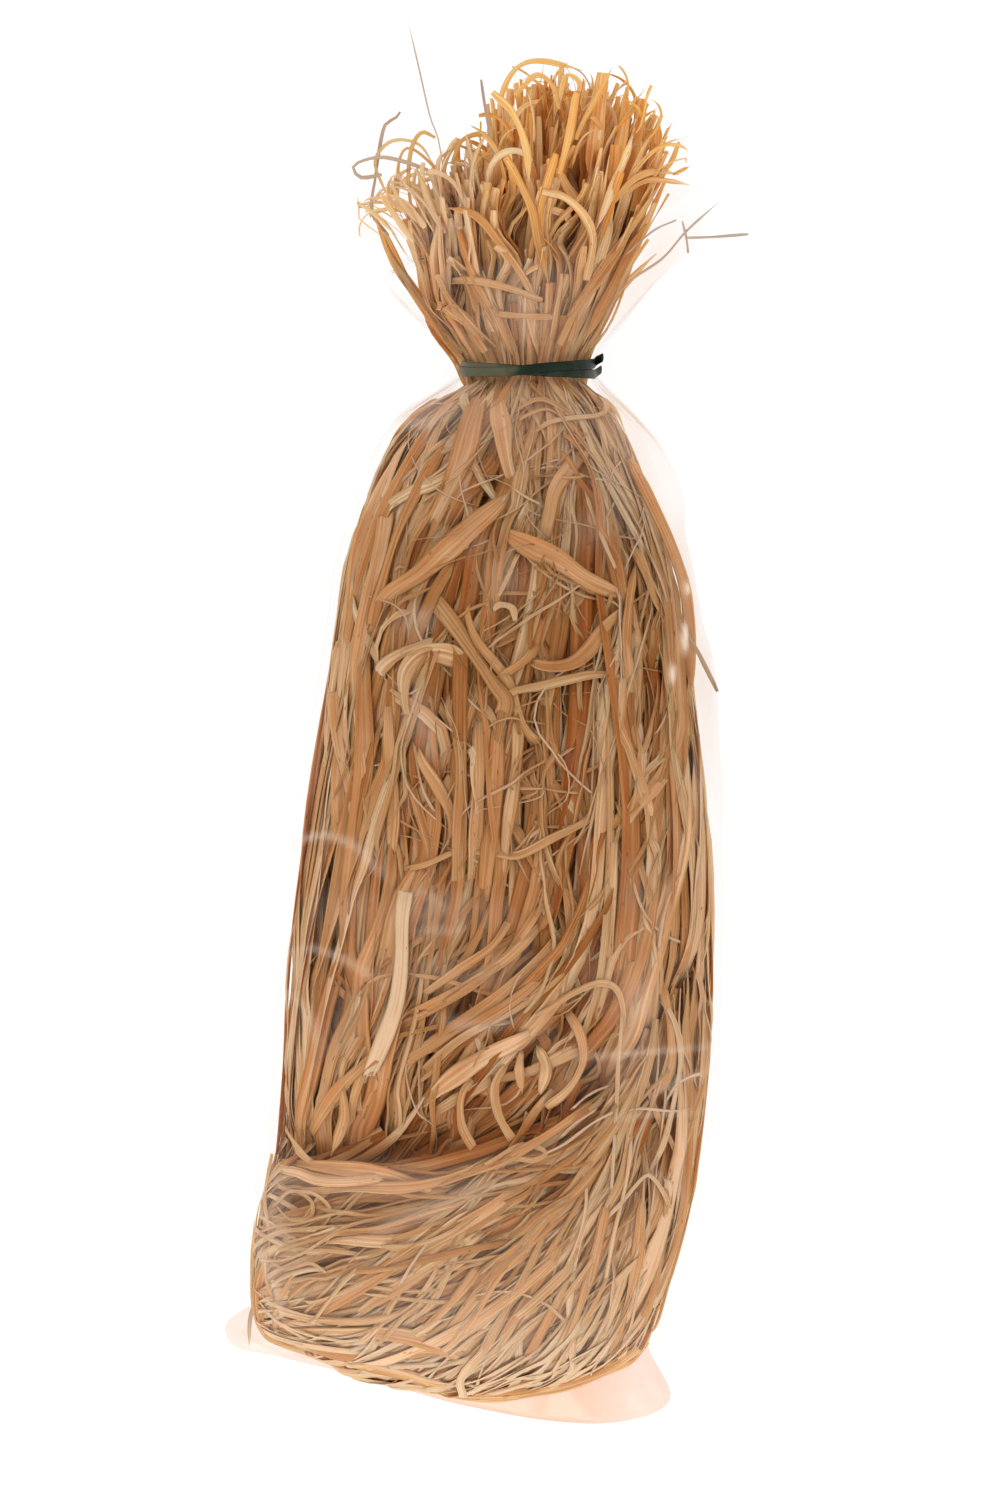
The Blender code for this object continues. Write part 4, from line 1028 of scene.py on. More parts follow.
def makeBrush():
    rng = np.random.default_rng(brush["seed"])
    count, points = brush["count"], brush["points"]
    # every fourth ribbon goes to the lobe at the left
    lobe, anywhere = rng.normal(*brush["lobe"], count), rng.uniform(0, 2 * math.pi, count)
    angle = np.where(np.arange(count) % 4 == 0, lobe, anywhere)
    ring = rng.uniform(0, 1, count) ** 0.42
    a, b = ring * np.cos(angle), ring * np.sin(angle)
    mid, half = np.array(brush["neckMiddle"]), brush["neckHalf"]
    start = np.column_stack([mid[0] + half[0] * a, np.full(count, mid[1]) - 6, mid[2] + half[1] * b])
    endA = np.clip(a + rng.normal(0, 0.08, count), -1, 1)
    endB = np.clip(b + rng.normal(0, 0.08, count), -1, 1)
    endX = brush["topMiddle"][0] + brush["topHalf"][0] * endA
    endY = readOff(endX, brush["topLine"]) - 4 * endB ** 2
    # the rim is lower in front, most of all to the right of the left lobe
    dip = readOff(endX, brush["frontDip"])
    endY -= dip * np.clip(endB, 0, 1) ** 1.2 + rng.uniform(0, 1, count) ** 2.2 * brush["lower"]
    half, middle = brushSize((endY - mid[1]) / brush["height"])
    end = np.column_stack([middle[:, 0] + half[:, 0] * endA, endY, middle[:, 1] + half[:, 1] * endB])
    # each leaves the tie straight, then leans out
    lean = np.where(a < 0, 0.2, 0.5)
    out = np.column_stack([a * lean, np.ones(count), b * 0.6]) + rng.normal(0, 0.10, (count, 3))
    gap = np.linalg.norm(end - start, axis=1)[:, None]
    first = start + np.column_stack([a * np.where(a < 0, 0.8, 0.3), np.ones(count), b * 0.2]) * gap * 0.26
    second = end - unit(out) * gap * 0.38
    t = np.linspace(0, 1, points)[None, :, None]
    p0, p1, p2, p3 = (v[:, None, :] for v in (start, first, second, end))
    rows = p0 * (1 - t) ** 3 + 3 * p1 * t * (1 - t) ** 2 + 3 * p2 * t * t * (1 - t) + p3 * t ** 3
    # tips curl over a little, a few of them a lot
    curl = rng.normal(0, brush["curl"], (count, 1, 3))
    curl = curl * (1 + brush["curlMore"] * (rng.uniform(0, 1, (count, 1, 1)) < brush["fewCurl"]))
    curl[:, :, 1] = -np.abs(curl[:, :, 1])
    rows = rows + curl * t ** 4
    rows += rng.normal(0, brush["waver"], (count, 1, 3)) * np.sin(t * rng.uniform(4, 9, (count, 1, 1)))
    rows = rows * mm
    away = rows - np.array([mid[0] * mm, 0, mid[2] * mm])
    away[:, :, 1] = 0
    tilt = rng.normal(0, 0.55, (count, 1)) + slowNoise(rng, count, points, 0.8) * 0.5
    facings = leaned(away + 1e-6, rows, tilt)
    width = ribbonWidths(rng, count, points, brush["width"], brush["torn"])
    cup = brush["cup"] * (0.5 + slowNoise(rng, count, points, 1.2))
    # the inner ribbons are toned a little darker, a painted shade deep in the brush
    tone = rng.normal(*brush["tone"], (count, 1)) + 0.04 * (ring[:, None] - 0.75)
    tone = tone - 0.10 * smoothStep(140, 116, rows[:, :, 1] / mm)
    # the left lobe is the palest
    x, y = rows[:, :, 0] / mm, rows[:, :, 1] / mm
    tone = tone + brush["leftPaler"] * smoothStep(4, -12, x) * smoothStep(122, 152, y)
    rows, sink = parted(rows, np.broadcast_to(unit(away + 1e-9), rows.shape), brush["dip"])
    # ribbons that dip into a slot are toned darker, a painted shade
    rows, tone = drawnIn(rows), tone - 0.07 * sink
    return ribbonPiece("raffia_brush", brushRaffia, rows, facings, width, cup, tone, rng, 6)


pieces.append(makeBrush())

# Ribbons laid on the brush's front: width, tone, how far above its face, x and y
brushRibbons = [
    (2.6, 0.86, 0.6, [(33, 146), (37, 156), (41, 166), (44, 174)]),
    (2.6, 0.60, 0.4, [(6, 167), (10, 160), (14, 151), (16, 141), (19, 129)]),
    (2.4, 0.54, 0.2, [(21, 168), (18, 158), (16, 149), (17, 138)]),
    (2.6, 0.78, 1.0, [(17, 157), (24, 155), (30, 149), (32, 142), (30, 131)]),
    (2.4, 0.56, 0.4, [(-13, 153), (-3, 150), (4, 142), (11, 132), (16, 122)]),
    (2.2, 0.66, 0.8, [(-15, 131), (-4, 131), (7, 128.5), (17, 125)]),
    (1.8, 0.60, 0.5, [(-1, 121.5), (9, 120.5), (20, 120)]),
    ((0.8, 2.6, 3.2, 3), 0.58, 0.4, [(-33, 151), (-28, 138), (-18, 124), (-8, 110)]),
    ((1.6, 3, 3, 3), 0.52, 0.4, [(-30, 146), (-24, 132), (-14, 118), (-7, 110)]),
    (3.0, 0.58, 0.4, [(-24, 150), (-18, 138), (-8, 122), (0, 110)]),
    (2.8, 0.54, 0.3, [(-8, 146), (-3, 132), (4, 119), (8, 109)]),
    (2.6, 0.60, 0.5, [(44, 147), (36, 134), (28, 124), (22, 112)]),
    (2.8, 0.56, 0.4, [(49, 150), (42, 138), (36, 126), (29, 112)]),
    (2.2, 0.64, 0.5, [(52, 160), (43, 146), (34, 134), (25, 120)]),
    (2.0, 0.70, 0.7, [(38, 154), (44, 161), (51, 164), (58, 163)]),
    (1.7, 0.66, 0.7, [(40, 156), (48, 161), (56, 161), (61, 160)]),
    (2.2, 0.70, 0.5, [(2, 186), (8, 180), (12, 170), (13, 158)]),
    (2.4, 0.60, 0.4, [(27, 186), (25, 174), (22, 162)]),
]
# Ribbons and loops at the brush's rim: width, tone, then x, y and z
rimRibbons = [
    (1.6, 0.72, [(4, 180, 50), (5, 187, 52), (8, 193, 54), (12, 196, 55), (17, 196.5, 55), (23, 195.5, 53),
                 (29, 194, 50)]),
    (4.6, 0.70, [(31, 160, 56), (33.5, 178, 57), (35, 193, 56)]),
    (3.6, 0.62, [(37, 160, 56), (41, 176, 55), (42, 189, 52)]),
    (4.0, 0.62, [(40, 158, 50), (45, 174, 48), (47, 186, 45)]),
    (3.0, 0.56, [(44, 152, 48), (50, 168, 45), (52, 181, 42)]),
    (1.2, 0.62, [(-22, 150, 48), (-23, 162, 50), (-22, 171, 51), (-19, 175.5, 51), (-15, 174, 50)]),
    (1.0, 0.60, [(-26, 154, 46), (-26, 166, 48), (-23, 171, 49), (-16, 166, 50), (-12, 160, 50)]),
    (1.0, 0.70, [(-30, 158, 46), (-33, 167, 48), (-28, 173, 49), (-20, 172, 50), (-15, 165, 50)]),
    (1.5, 0.58, [(-10, 166, 50), (-7, 173, 51), (-1, 175, 51), (3, 172, 52)]),
    (1.4, 0.55, [(48, 158, 50), (55, 166, 48), (58, 173, 46)]),
    (1.0, 0.45, [(56, 163, 48), (61, 165.5, 47)]),
    (1.6, 0.66, [(9, 186, 60), (15, 192, 59), (20, 189, 58), (22, 182, 58)]),
    (1.4, 0.74, [(22, 184, 58), (24, 192, 57), (28, 190, 56), (27, 184, 56)]),
]
raised = [(width, tone, [(x, y, float(brushFront(np.float64(x), np.float64(y))) + above) for x, y in places])
          for width, tone, above, places in brushRibbons]
pieces.append(layRibbons("raffia_brush_laid", brushRaffia, raised + rimRibbons, 26, 22))


# Thin curly ends that stand out of the brush: many at its left side, some round its top
curls = {
    "count": 150, "points": 26, "seed": 33, "length": (14, 24), "width": (0.7, 2.4), "torn": 0.5, "cup": 0.1,
    "tone": (0.62, 0.15), "leftPaler": 0.36,
    # where they start, how far they may stand out above the brush's outline, and their limits in x
    "leftX": (-28, 4), "rightX": (4, 50), "leftY": (146, 160), "rightY": (162, 182), "z": (30, 62),
    "over": 4, "between": (-38, 60),
}


def makeCurls():
    rng = np.random.default_rng(curls["seed"])
    count, points = curls["count"], curls["points"]
    left = rng.uniform(0, 1, count) < 0.5
    leftX, rightX, leftY, rightY, z = (
        rng.uniform(*curls[key], count) for key in ("leftX", "rightX", "leftY", "rightY", "z"))
    x, y = np.where(left, leftX, rightX), np.where(left, leftY, rightY)
    start = np.column_stack([x, y, z])
    t = np.linspace(0, 1, points)[None]
    length = rng.uniform(*curls["length"], (count, 1))
    bend = rng.normal(0, 1.0, (count, 1)) + rng.normal(0, 1.3, (count, 1)) * t
    heading = math.pi / 2 - 0.02 * (x[:, None] - 12) + bend * t
    side = rng.normal(0, 0.5, (count, 1)) + rng.normal(0, 1.0, (count, 1)) * t
    steps = np.stack([np.cos(heading), np.sin(heading), np.sin(side) * 0.6], axis=2)
    steps = steps * (length / (points - 1))[..., None]
    rows = start[:, None] + np.cumsum(steps, axis=1)
    # each is lowered until all of it is under the outline
    ceiling = readOff(rows[:, :, 0], brush["topLine"]) + curls["over"]
    rows[:, :, 1] -= np.maximum((rows[:, :, 1] - ceiling).max(axis=1, keepdims=True), 0)
    rows[:, :, 0] = np.clip(rows[:, :, 0], *curls["between"])
    rows *= mm
    facings = unit(rng.normal(0, 1, (count, 1, 3)) + np.zeros((1, points, 1)))
    width = ribbonWidths(rng, count, points, curls["width"], curls["torn"])
    tone = rng.normal(*curls["tone"], (count, 1)) + curls["leftPaler"] * left[:, None]
    cup = width * 0 + curls["cup"]
    return ribbonPiece("raffia_curls", brushRaffia, rows, facings, width, cup, tone, rng, 6)


pieces.append(makeCurls())

# Thin dry wisps that stray past the bundle, and the leaf tip that leaves the shoulder: width, tone, points
strayWisps = [
    (0.45, 0.60, [(-12, 160, 52), (-14, 173, 52), (-16.5, 180, 52), (-19.5, 193, 51), (-23.3, 209.6, 50)]),
    (0.8, 0.30, [(3, 165, 56), (1, 176, 56), (-0.3, 184, 56), (-1.3, 191, 55)]),
    (0.7, 0.35, [(36, 122, 48), (43, 131, 48), (53, 138, 49), (60, 146, 50), (70, 155, 50)]),
    (0.6, 0.40, [(42, 139, 50), (50, 146, 51), (57, 149.3, 51)]),
    (0.7, 0.35, [(58.8, 149, 51), (60, 144, 50), (60.6, 139.5, 49)]),
    (0.8, 0.35, [(60, 144, 50.5), (68, 144.3, 50), (78.6, 145.2, 49)]),
    (1.3, 0.34, [(57, 30, 50), (62, 23, 48), (66, 15.5, 46), (69.5, 8.5, 44)]),
    (1.1, 0.60, [(-68, -172, 22), (-71, -180, 18), (-71.5, -189.5, 15)]),
    # loops at the left of the brush
    (1.0, 0.42, [(-29, 145, 44), (-34, 152, 45), (-33, 162, 46), (-31.5, 172, 47), (-30, 178, 47),
                 (-27, 180, 46), (-25.5, 182, 45)]),
    (1.1, 0.55, [(-12, 162, 50), (-22, 166, 52), (-31, 168, 52), (-38, 166.5, 51), (-39.5, 164.5, 51),
                 (-37, 162, 50), (-31, 163, 49)]),
]
wispRaffia = raffiaMaterial("raffia_wisp", {
    "streaks": 1.0, "blotch": 0.4, "roughness": 0.6, "gloss": 0.03, "soak": 0.0, "soakDepth": 1.0,
    "bump": 0.2, "edges": (1, 0.95, 0.9), "olive": (1, 1, 1), "flecks": (0.62, 0.5, 0.42),
    "colours": [(0.0, (0.26, 0.17, 0.11)), (0.5, (0.48, 0.33, 0.21)), (1.0, (0.68, 0.50, 0.35))],
    "tips": [(0.0, (0.42, 0.33, 0.31)), (0.5, (0.60, 0.50, 0.45)), (1.0, (0.75, 0.66, 0.62))],
})
wisps = layRibbons("raffia_wisps", wispRaffia, strayWisps, 20, 23)
pieces.append(wisps)


film = {
    "rows": 380, "columns": 200, "top": 167, "bottom": -204,
    # how high the open end reaches, from the right side round over the front to the left side and back
    "lip": [(0.0, 160), (0.10, 152), (0.18, 141), (0.26, 139), (0.34, 146), (0.42, 154), (0.5, 166),
            (0.6, 172), (0.75, 170), (0.9, 174), (1.0, 160)],
    "pleat": 1.1, "pleats": 23, "ridge": 0.9,
    # how much of the warm tint shows where it stands loose, by height
    "warmth": [(-210, 0.0), (-196, 0.0), (-184, 1.0), (-100, 0.5), (-30, 0.6), (10, 1.0), (30, 1.2),
               (60, 1.8), (78, 1.1), (104, 0.6), (110, 0.7), (150, 0.8)],
    # how much nearer it lies at the right shoulder, by height
    "drawn": [(-15, 0), (0, 0.6), (11, 1.0), (20, 1.8), (29, 3.0), (38, 3.4), (46, 3.4), (55, 3.0), (64, 1.2),
              (73, 0)],
    "flatWidth": 0.166, "flatLength": 0.392,
}
# creases in the film on the front, as ridges with a painted reflection along each, and painted glints:
# strength, half width, points
filmCreases = [
    (1.0, 1.3, [(-62, -42), (-55, -36), (-46, -34.5), (-38, -38), (-33, -43), (-28, -48)]),
    (0.8, 1.2, [(-62, -71), (-52, -68), (-42, -71), (-35, -75), (-29, -79)]),
    (0.8, 1.2, [(-62, -80), (-56, -83), (-52, -88), (-50, -97)]),
    (0.8, 1.1, [(26, -100), (40, -99), (55, -98), (72, -97)]),
    (0.7, 1.1, [(50, -111), (58, -107), (70, -104)]),
    (0.6, 1.1, [(34, -119), (50, -117), (68, -117)]),
    (0.6, 1.4, [(-34, 86), (-26, 91), (-17, 95), (-8, 101)]),
    (0.7, 1.8, [(-27, 90), (-18, 88), (-10, 92)]),
    (0.6, 1.3, [(33, 101), (38, 92), (44, 80), (50, 68)]),
    (0.5, 1.2, [(62, -8), (64, -22), (66, -38)]),
    (0.6, 1.3, [(-70, -138), (-66, -148), (-62, -152)]),
    (0.6, 1.4, [(-72, -152), (-67, -160), (-62, -172), (-60, -180)]),
    (0.4, 1.2, [(48, -133), (53, -137), (60, -143)]),
    (0.5, 1.3, [(-20, -50), (-15, -53), (-10, -58)]),
    (0.5, 1.3, [(-22, -63), (-14, -62), (-8, -62), (-7, -52)]),
    (0.6, 2.0, [(-14, -88), (-2, -91), (10, -88)]),
    (0.6, 2.4, [(-36, -153), (-24, -148), (-8, -142), (6, -136)]),
    (0.4, 2.5, [(-26, 28), (-20, 31), (-15, 29)]),
    (0.4, 3.0, [(-20, 2), (-17, -6), (-13, -12)]),
    # bright glints at the right edge
    (3.4, 1.0, [(58.6, 29), (59.0, 20)]),
    (3.0, 0.9, [(55.4, 16.5), (55.3, 10.5)]),
    (2.4, 0.9, [(59.2, 41), (59.6, 37)]),
]
# soft clouds on its front, where it is finely wrinkled: x, y, half width, half height, strength
filmClouds = [
    (0, -178, 70, 34, 0.10), (-36, -137, 30, 5, 0.16), (39, 72, 7, 16, 0.16), (-19, 94, 12, 5, 0.22),
    (-17, -58, 7, 8, 0.16), (-14, -75, 11, 5, 0.12), (11, 119, 18, 9, 0.14), (-12, 141, 13, 8, 0.14),
    (46, -84, 5, 7, 0.20), (-62, -152, 5, 22, 0.16), (46, -103, 18, 9, 0.10), (-40, -56, 12, 6, 0.10),
    (31, 56, 7, 6, 0.10), (6, 42, 7, 6, 0.10), (-21, 28, 5, 4, 0.10), (-20, 2, 4, 7, 0.12),
    (44, -52, 6, 12, 0.08), (20, 132, 10, 6, 0.10), (-20, 150, 14, 12, 0.14), (4, 90, 28, 9, 0.12),
]


# Rings of points round the bag, from the open end down
def makeFilm():
    hank, columns, bottom = hankForm["verts"], film["columns"], film["bottom"] * mm
    levels = np.linspace(film["top"], film["bottom"], film["rows"]) * mm
    rays = np.linspace(0, 2 * math.pi, 145)[:-1]
    coarse = levels[::3]
    bands = [hank[np.abs(hank[:, 1] - np.clip(y, -0.196, 0.16)) < 4 * mm] for y in coarse]
    middles = eased(np.array([(band.min(0) + band.max(0)) / 2 for band in bands]), 12)
    reaches = eased(np.array([(band.max(0) - band.min(0)) / 2 for band in bands]), 12)
    rings = []
    for y, middle, reach in zip(coarse, middles, reaches):
        ring = []
        for a in rays:
            way = Vector((math.cos(a) * reach[0], 0, math.sin(a) * reach[2])).normalized()
            hit = struck(filmTree, Vector((middle[0], y, middle[2])) + way * 0.2, -way)[0]
            ring.append(hit[:] if hit is not None else (middle[0], y, middle[2]))
        rings.append(evenly(np.array(ring + ring[:1]), columns + 1)[:-1])
    rings = np.array(rings)
    for _ in range(3):
        rings = easedRound(rings)
        eased(rings[:29], 1)
    grid = np.empty((len(levels), columns, 3))
    for c in range(columns):
        first = rings[4, c]
        across = math.atan2(first[2] - 0.038, first[0] - 0.014) / (2 * math.pi) % 1
        lip = readOff(across, film["lip"]) * mm
        grid[:, c, 1] = bottom + (levels - bottom) * (lip - bottom) / (levels[0] - bottom)
        for k in (0, 2):
            grid[:, c, k] = np.interp(-grid[:, c, 1], -coarse, rings[:, c, k])
    for _ in range(3):
        grid[:, :, 1] = easedRound(grid[:, :, 1])
    drawn = readOff(grid[:, :, 1] / mm, film["drawn"]) * mm
    grid[:, :, 0] -= drawn * smoothStep(30 * mm, 50 * mm, grid[:, :, 0])
    return grid


def creaseAmounts(grid):
    flat = grid[:, :, :2].reshape(-1, 2)
    total = np.zeros(len(flat))
    for strength, half, points in filmCreases:
        line = smoothPath(points, 40) * mm
        low, high = line.min(0) - 8 * mm, line.max(0) + 8 * mm
        near = np.where(np.all((flat > low) & (flat < high), axis=1))[0]
        if not len(near):
            continue
        gap = np.sqrt(((flat[near, None] - line[None]) ** 2).sum(2))
        t = gap.argmin(1) / 39
        fade = np.clip(np.sin(np.clip(t, 0.02, 0.98) * math.pi), 0, 1) ** 0.5
        amount = strength * fade * np.exp(-(gap.min(1) / (half * mm)) ** 2)
        total[near] = np.maximum(total[near], amount)
    return total.reshape(grid.shape[:2])


# The film with its creases, pleats and waves, and how clouded and loose it is at each point
def wrinkled(grid):
    levels = grid[:, :, 1]
    columnStep = (np.roll(grid, -1, axis=1) - np.roll(grid, 1, axis=1)) / 2
    out = unit(np.cross(columnStep, np.gradient(grid, axis=0)))
    out *= np.sign(np.sum(out * (grid - grid.mean(axis=1, keepdims=True)), axis=2).mean())
    crease = creaseAmounts(grid) * (out[:, :, 2] > -0.1)
    turn = np.arange(film["columns"]) / film["columns"] * 2 * math.pi
    fromTie = np.abs(levels - tieHeight * mm)
    neckFade = np.exp(-fromTie / (18 * mm)) - np.exp(-fromTie / (4 * mm))
    pleats = np.sin(film["pleats"] * turn + 1.3 * np.sin(3 * turn))
    pleats = pleats + 0.6 * np.sin(1.7 * film["pleats"] * turn + 2)
    shift = (np.minimum(crease, 1) * film["ridge"] + pleats[None] * neckFade * film["pleat"]) * mm
    lipWave = smoothStep(132 * mm, 160 * mm, levels)
    shift += lipWave * (1.6 * np.sin(4 * turn + 1) + 1.0 * np.sin(9 * turn))[None] * mm
    swell = 0.35 * np.sin(levels * 190 + 2.2 * np.sin(2 * turn)[None]) * mm
    grid = grid + out * (shift + swell * 0.6)[:, :, None]
    grid[:, :, 2] = np.maximum(grid[:, :, 2], 0.15 * mm)
    x, y = grid[:, :, 0], grid[:, :, 1]
    cloud = np.zeros(x.shape)
    for middleX, middleY, wide, tall, amount in filmClouds:
        gap = ((x / mm - middleX) / wide) ** 2 + ((y / mm - middleY) / tall) ** 2
        cloud += amount * np.exp(-gap) * smoothStep(0, 0.3, out[:, :, 2])
    # where the film has no raffia over or under it, it looks warmer
    coarse = grid[::3, ::2]
    bare = [fromAbove(hankForm["tree"], *p[:2])[0] is None for p in coarse.reshape(-1, 3)]
    stand = np.linalg.norm(coarse - nearestOn(hankForm, coarse)[0], axis=2)
    loose, stand = (np.repeat(np.repeat(v, 3, axis=0)[:film["rows"]], 2, axis=1)
                    for v in (np.array(bare, float).reshape(coarse.shape[:2]), stand))
    # most where it stands well off the raffia, but at the right shoulder close beside it
    shoulder = smoothStep(20, 34, levels / mm) * smoothStep(106, 94, levels / mm) * (x > 20 * mm)
    close = smoothStep(0.3, 2.0, stand / mm) * (1 - 0.9 * smoothStep(4, 12, stand / mm))
    far = smoothStep(2.2, 7, stand / mm)
    loose *= (far + (close - far) * shoulder) * readOff(levels / mm, film["warmth"])
    for _ in range(4):
        loose = eased(easedRound(loose), 1)
    # it fades out at the open end, and at the other end, where the seal goes on from it
    rim = smoothStep(34, 0, np.arange(len(grid)))[:, None] + smoothStep(-188 * mm, -198 * mm, y)
    return grid, {"crease": crease, "loose": loose, "cloud": cloud, "rim": rim}


# A sheet of faces over rows of points, with named values for each point; its face number upper faces up
def sheetPiece(name, grid, closed, values, upper=0):
    rows, columns = grid.shape[:2]
    index = np.arange(rows * columns).reshape(rows, columns)
    if closed:
        index = np.column_stack([index, index[:, 0]])
    faces = np.stack([index[:-1, :-1], index[1:, :-1], index[1:, 1:], index[:-1, 1:]], axis=2).reshape(-1, 4)
    mesh = bpy.data.meshes.new(name)
    mesh.from_pydata(grid.reshape(-1, 3).tolist(), [], faces.tolist())
    for key, value in values.items():
        keepOn(mesh, key, value)
    mesh.update()
    if mesh.polygons[upper].normal.z < 0:
        mesh.flip_normals()
    for p in mesh.polygons:
        p.use_smooth = True
    return placed(name, mesh)


# how much each thing clouds it or paints a reflection on it where it is creased or steep, and its colour
# where it is creased and where it is warm
clearFilm = {"haze": 0.004, "patch": 0.3, "creaseHazeAndReflection": 0.26, "edgeReflection": 0.12, "looseTint": 0.16,
             "clouds": 0.7, "colour": (0.97, 0.74, 0.56), "warm": (1.0, 0.62, 0.28), "roughness": 0.16}


# The flat sealed edge below the raffia, with a flap at each end: inner and outer line, z rising inwards
seal = {
    "count": 90, "across": 7, "inside": 9, "fall": 5.5, "wave": 0.8, "thickness": 0.12, "mark": 0.25,
    "inner": [(-63, -174), (-63, -178), (-62, -181), (-57, -184), (-46, -187), (-32, -191), (-12, -197),
              (2, -200), (18, -199), (32, -195), (42, -190), (47, -184)],
    "outer": [(-68, -176.5), (-73, -178.5), (-79, -183.5), (-76, -190), (-63, -193), (-38, -199), (-14, -206),
              (4, -210), (24, -213), (43, -212.5), (56, -206), (50, -192)],
    # how much of the warm tint shows, by x
    "warmth": [(-70, 0.7), (-50, 1.0), (0, 1.7), (28, 1.7), (46, 1.05)],
}


def makeSeal():
    count, across = seal["count"], seal["across"]
    inner, outer = smoothPath(seal["inner"], count), smoothPath(seal["outer"], count)
    grid = np.empty((count, across, 3))
    for k in range(across):
        t = k / (across - 1)
        grid[:, k, :2] = inner + (outer - inner) * t
        wave = seal["wave"] * np.sin(np.arange(count) * 0.55 + 2 * t) * t
        grid[:, k, 2] = seal["inside"] - seal["fall"] * t + wave
    grid *= mm
    mark = np.zeros((count, across))
    mark[:, -2] = seal["mark"]
    warmth = readOff(grid[:, :, 0] / mm, seal["warmth"])
    piece = sheetPiece("film_seal", grid, False, {"crease": mark, "loose": warmth})
    thick = piece.modifiers.new("thick", "SOLIDIFY")
    thick.thickness = seal["thickness"] * mm
    thick.offset = 0
    return settled(piece)


# Haze of clear film where it is clouded or loose, haze and a painted reflection where creased, a painted
# reflection and warm glow where steep, how warm it is there, and its wrinkles
def makeFilmGroup():
    inputs = ("Facing", "Haze", "Patch", "Crease Haze And Reflection", "Edge Reflection", "Loose Tint", "Clouds")
    group, given, result = makeGroup("filmHaze", [(label, "Float", 0.0) for label in inputs],
                                     [(label, "Float") for label in ("Alpha", "Warmth", "Height")])

    def times(a, b):
        return mathsNode(group, "MULTIPLY", a, b)

    def plus(a, b, clamp=False):
        return mathsNode(group, "ADD", a, b, clamp=clamp)

    place = newNode(group, "ShaderNodeTexCoord").outputs["Object"]
    mapping = newNode(group, "ShaderNodeMapping", {"Vector": place, "Scale": (34, 20, 20)})
    cloud, wrinkle = (newNode(group, "ShaderNodeTexNoise", {
        "Vector": mapping, "Scale": scale, "Detail": detail, "Distortion": distortion}).outputs["Fac"]
        for scale, detail, distortion in ((1.0, 3, 1.2), (2.6, 2, 0.0)))
    patch = mathsNode(group, "MAXIMUM", mathsNode(group, "SUBTRACT", cloud, 0.55), 0.0)
    haze = plus(times(patch, given["Patch"]), given["Haze"])
    # creases and the seal line are painted paler: their own haze, and on the film's creases a painted
    # reflection; the glints are painted highlights
    haze = plus(haze, times(attributeNode(group, "crease"), given["Crease Haze And Reflection"]))
    haze = plus(haze, times(attributeNode(group, "cloud"), given["Clouds"]))
    # steep faces get a painted reflection and a warm painted glow
    steep = times(mathsNode(group, "POWER", given["Facing"], 3.0), given["Edge Reflection"])
    tint = plus(times(attributeNode(group, "loose"), given["Loose Tint"]), steep)
    alpha = times(plus(tint, haze, True), mathsNode(group, "SUBTRACT", 1.0, attributeNode(group, "rim")))
    feed(group, result["Alpha"], alpha)
    feed(group, result["Warmth"], mathsNode(group, "DIVIDE", tint, plus(alpha, 0.001), clamp=True))
    feed(group, result["Height"], wrinkle)
    return group


filmGroup = makeFilmGroup()


def filmMaterial(name, spec):
    material, tree, shader = newMaterial(name, {"Roughness": spec["roughness"], "Specular IOR Level": 0.8})
    facing = newNode(tree, "ShaderNodeLayerWeight", {"Blend": 0.25}).outputs["Facing"]
    haze = newNode(tree, "ShaderNodeGroup", {
        "Facing": facing, "Haze": spec["haze"], "Patch": spec["patch"], "Crease Haze And Reflection": spec["creaseHazeAndReflection"],
        "Edge Reflection": spec["edgeReflection"], "Loose Tint": spec["looseTint"], "Clouds": spec["clouds"]},
        node_tree=filmGroup).outputs
    feed(tree, shader["Alpha"], haze["Alpha"])
    feed(tree, shader["Base Color"], mixNode(tree, haze["Warmth"], (*spec["colour"], 1), (*spec["warm"], 1)))
    bumpOn(tree, shader, haze["Height"], 0.35, 1.5 * mm)
    return material


filmGrid, filmValues = wrinkled(makeFilm())
frontFace = (film["rows"] - 1) * film["columns"] // 2 + film["columns"] // 4
filmPiece = sheetPiece("film", filmGrid, True, filmValues, frontFace)
filmPiece.data.materials.append(filmMaterial("clear_film", clearFilm))
sealPiece = makeSeal()
sealFilm = dict(clearFilm, looseTint=0.24, warm=(1.0, 0.46, 0.22))
sealPiece.data.materials.append(filmMaterial("film_seal", sealFilm))
print("film:", len(filmPiece.data.polygons), "faces")


# the tie goes twice round, and its turns cross on the front; heights by angle from the right side
tie = {"width": 2.9, "thickness": 0.30, "stand": 0.7, "points": 190, "middleX": 12.7, "from": -0.15,
       "heights": [(-0.15, 103.8), (0.6, 103.6), (1.35, 103.8), (1.8, 104.6), (2.4, 105.4), (3.14, 106.7),
                   (4.7, 106.3), (5.8, 107.0), (6.4, 107.2), (7.1, 105.9), (7.6, 105.1), (8.1, 103.9),
                   (8.7, 103.9), (9.42, 105.0), (11, 106), (12.7, 107.7)],
       "colours": [(0.3, (0.003, 0.010, 0.005)), (0.7, (0.008, 0.020, 0.009)), (0.95, (0.090, 0.086, 0.048))]}


def tieMaterial():
    material, tree, shader = newMaterial("tie_plastic", {"Roughness": 0.45, "Specular IOR Level": 0.16})
    place = newNode(tree, "ShaderNodeTexCoord").outputs["Object"]
    noise = newNode(tree, "ShaderNodeTexNoise", {"Vector": place, "Scale": 130}).outputs["Fac"]
    # its left half is painted paler, a painted sheen where it catches the light
    x = newNode(tree, "ShaderNodeSeparateXYZ", {"Vector": place}).outputs["X"]
    leftSheen = mathsNode(tree, "MULTIPLY", mathsNode(tree, "SUBTRACT", 12 * mm, x), 110.0, clamp=True)
    shade = mathsNode(tree, "ADD", noise, mathsNode(tree, "MULTIPLY", leftSheen, 0.55))
    feed(tree, shader["Base Color"], rampNode(tree, shade, tie["colours"]))
    return material


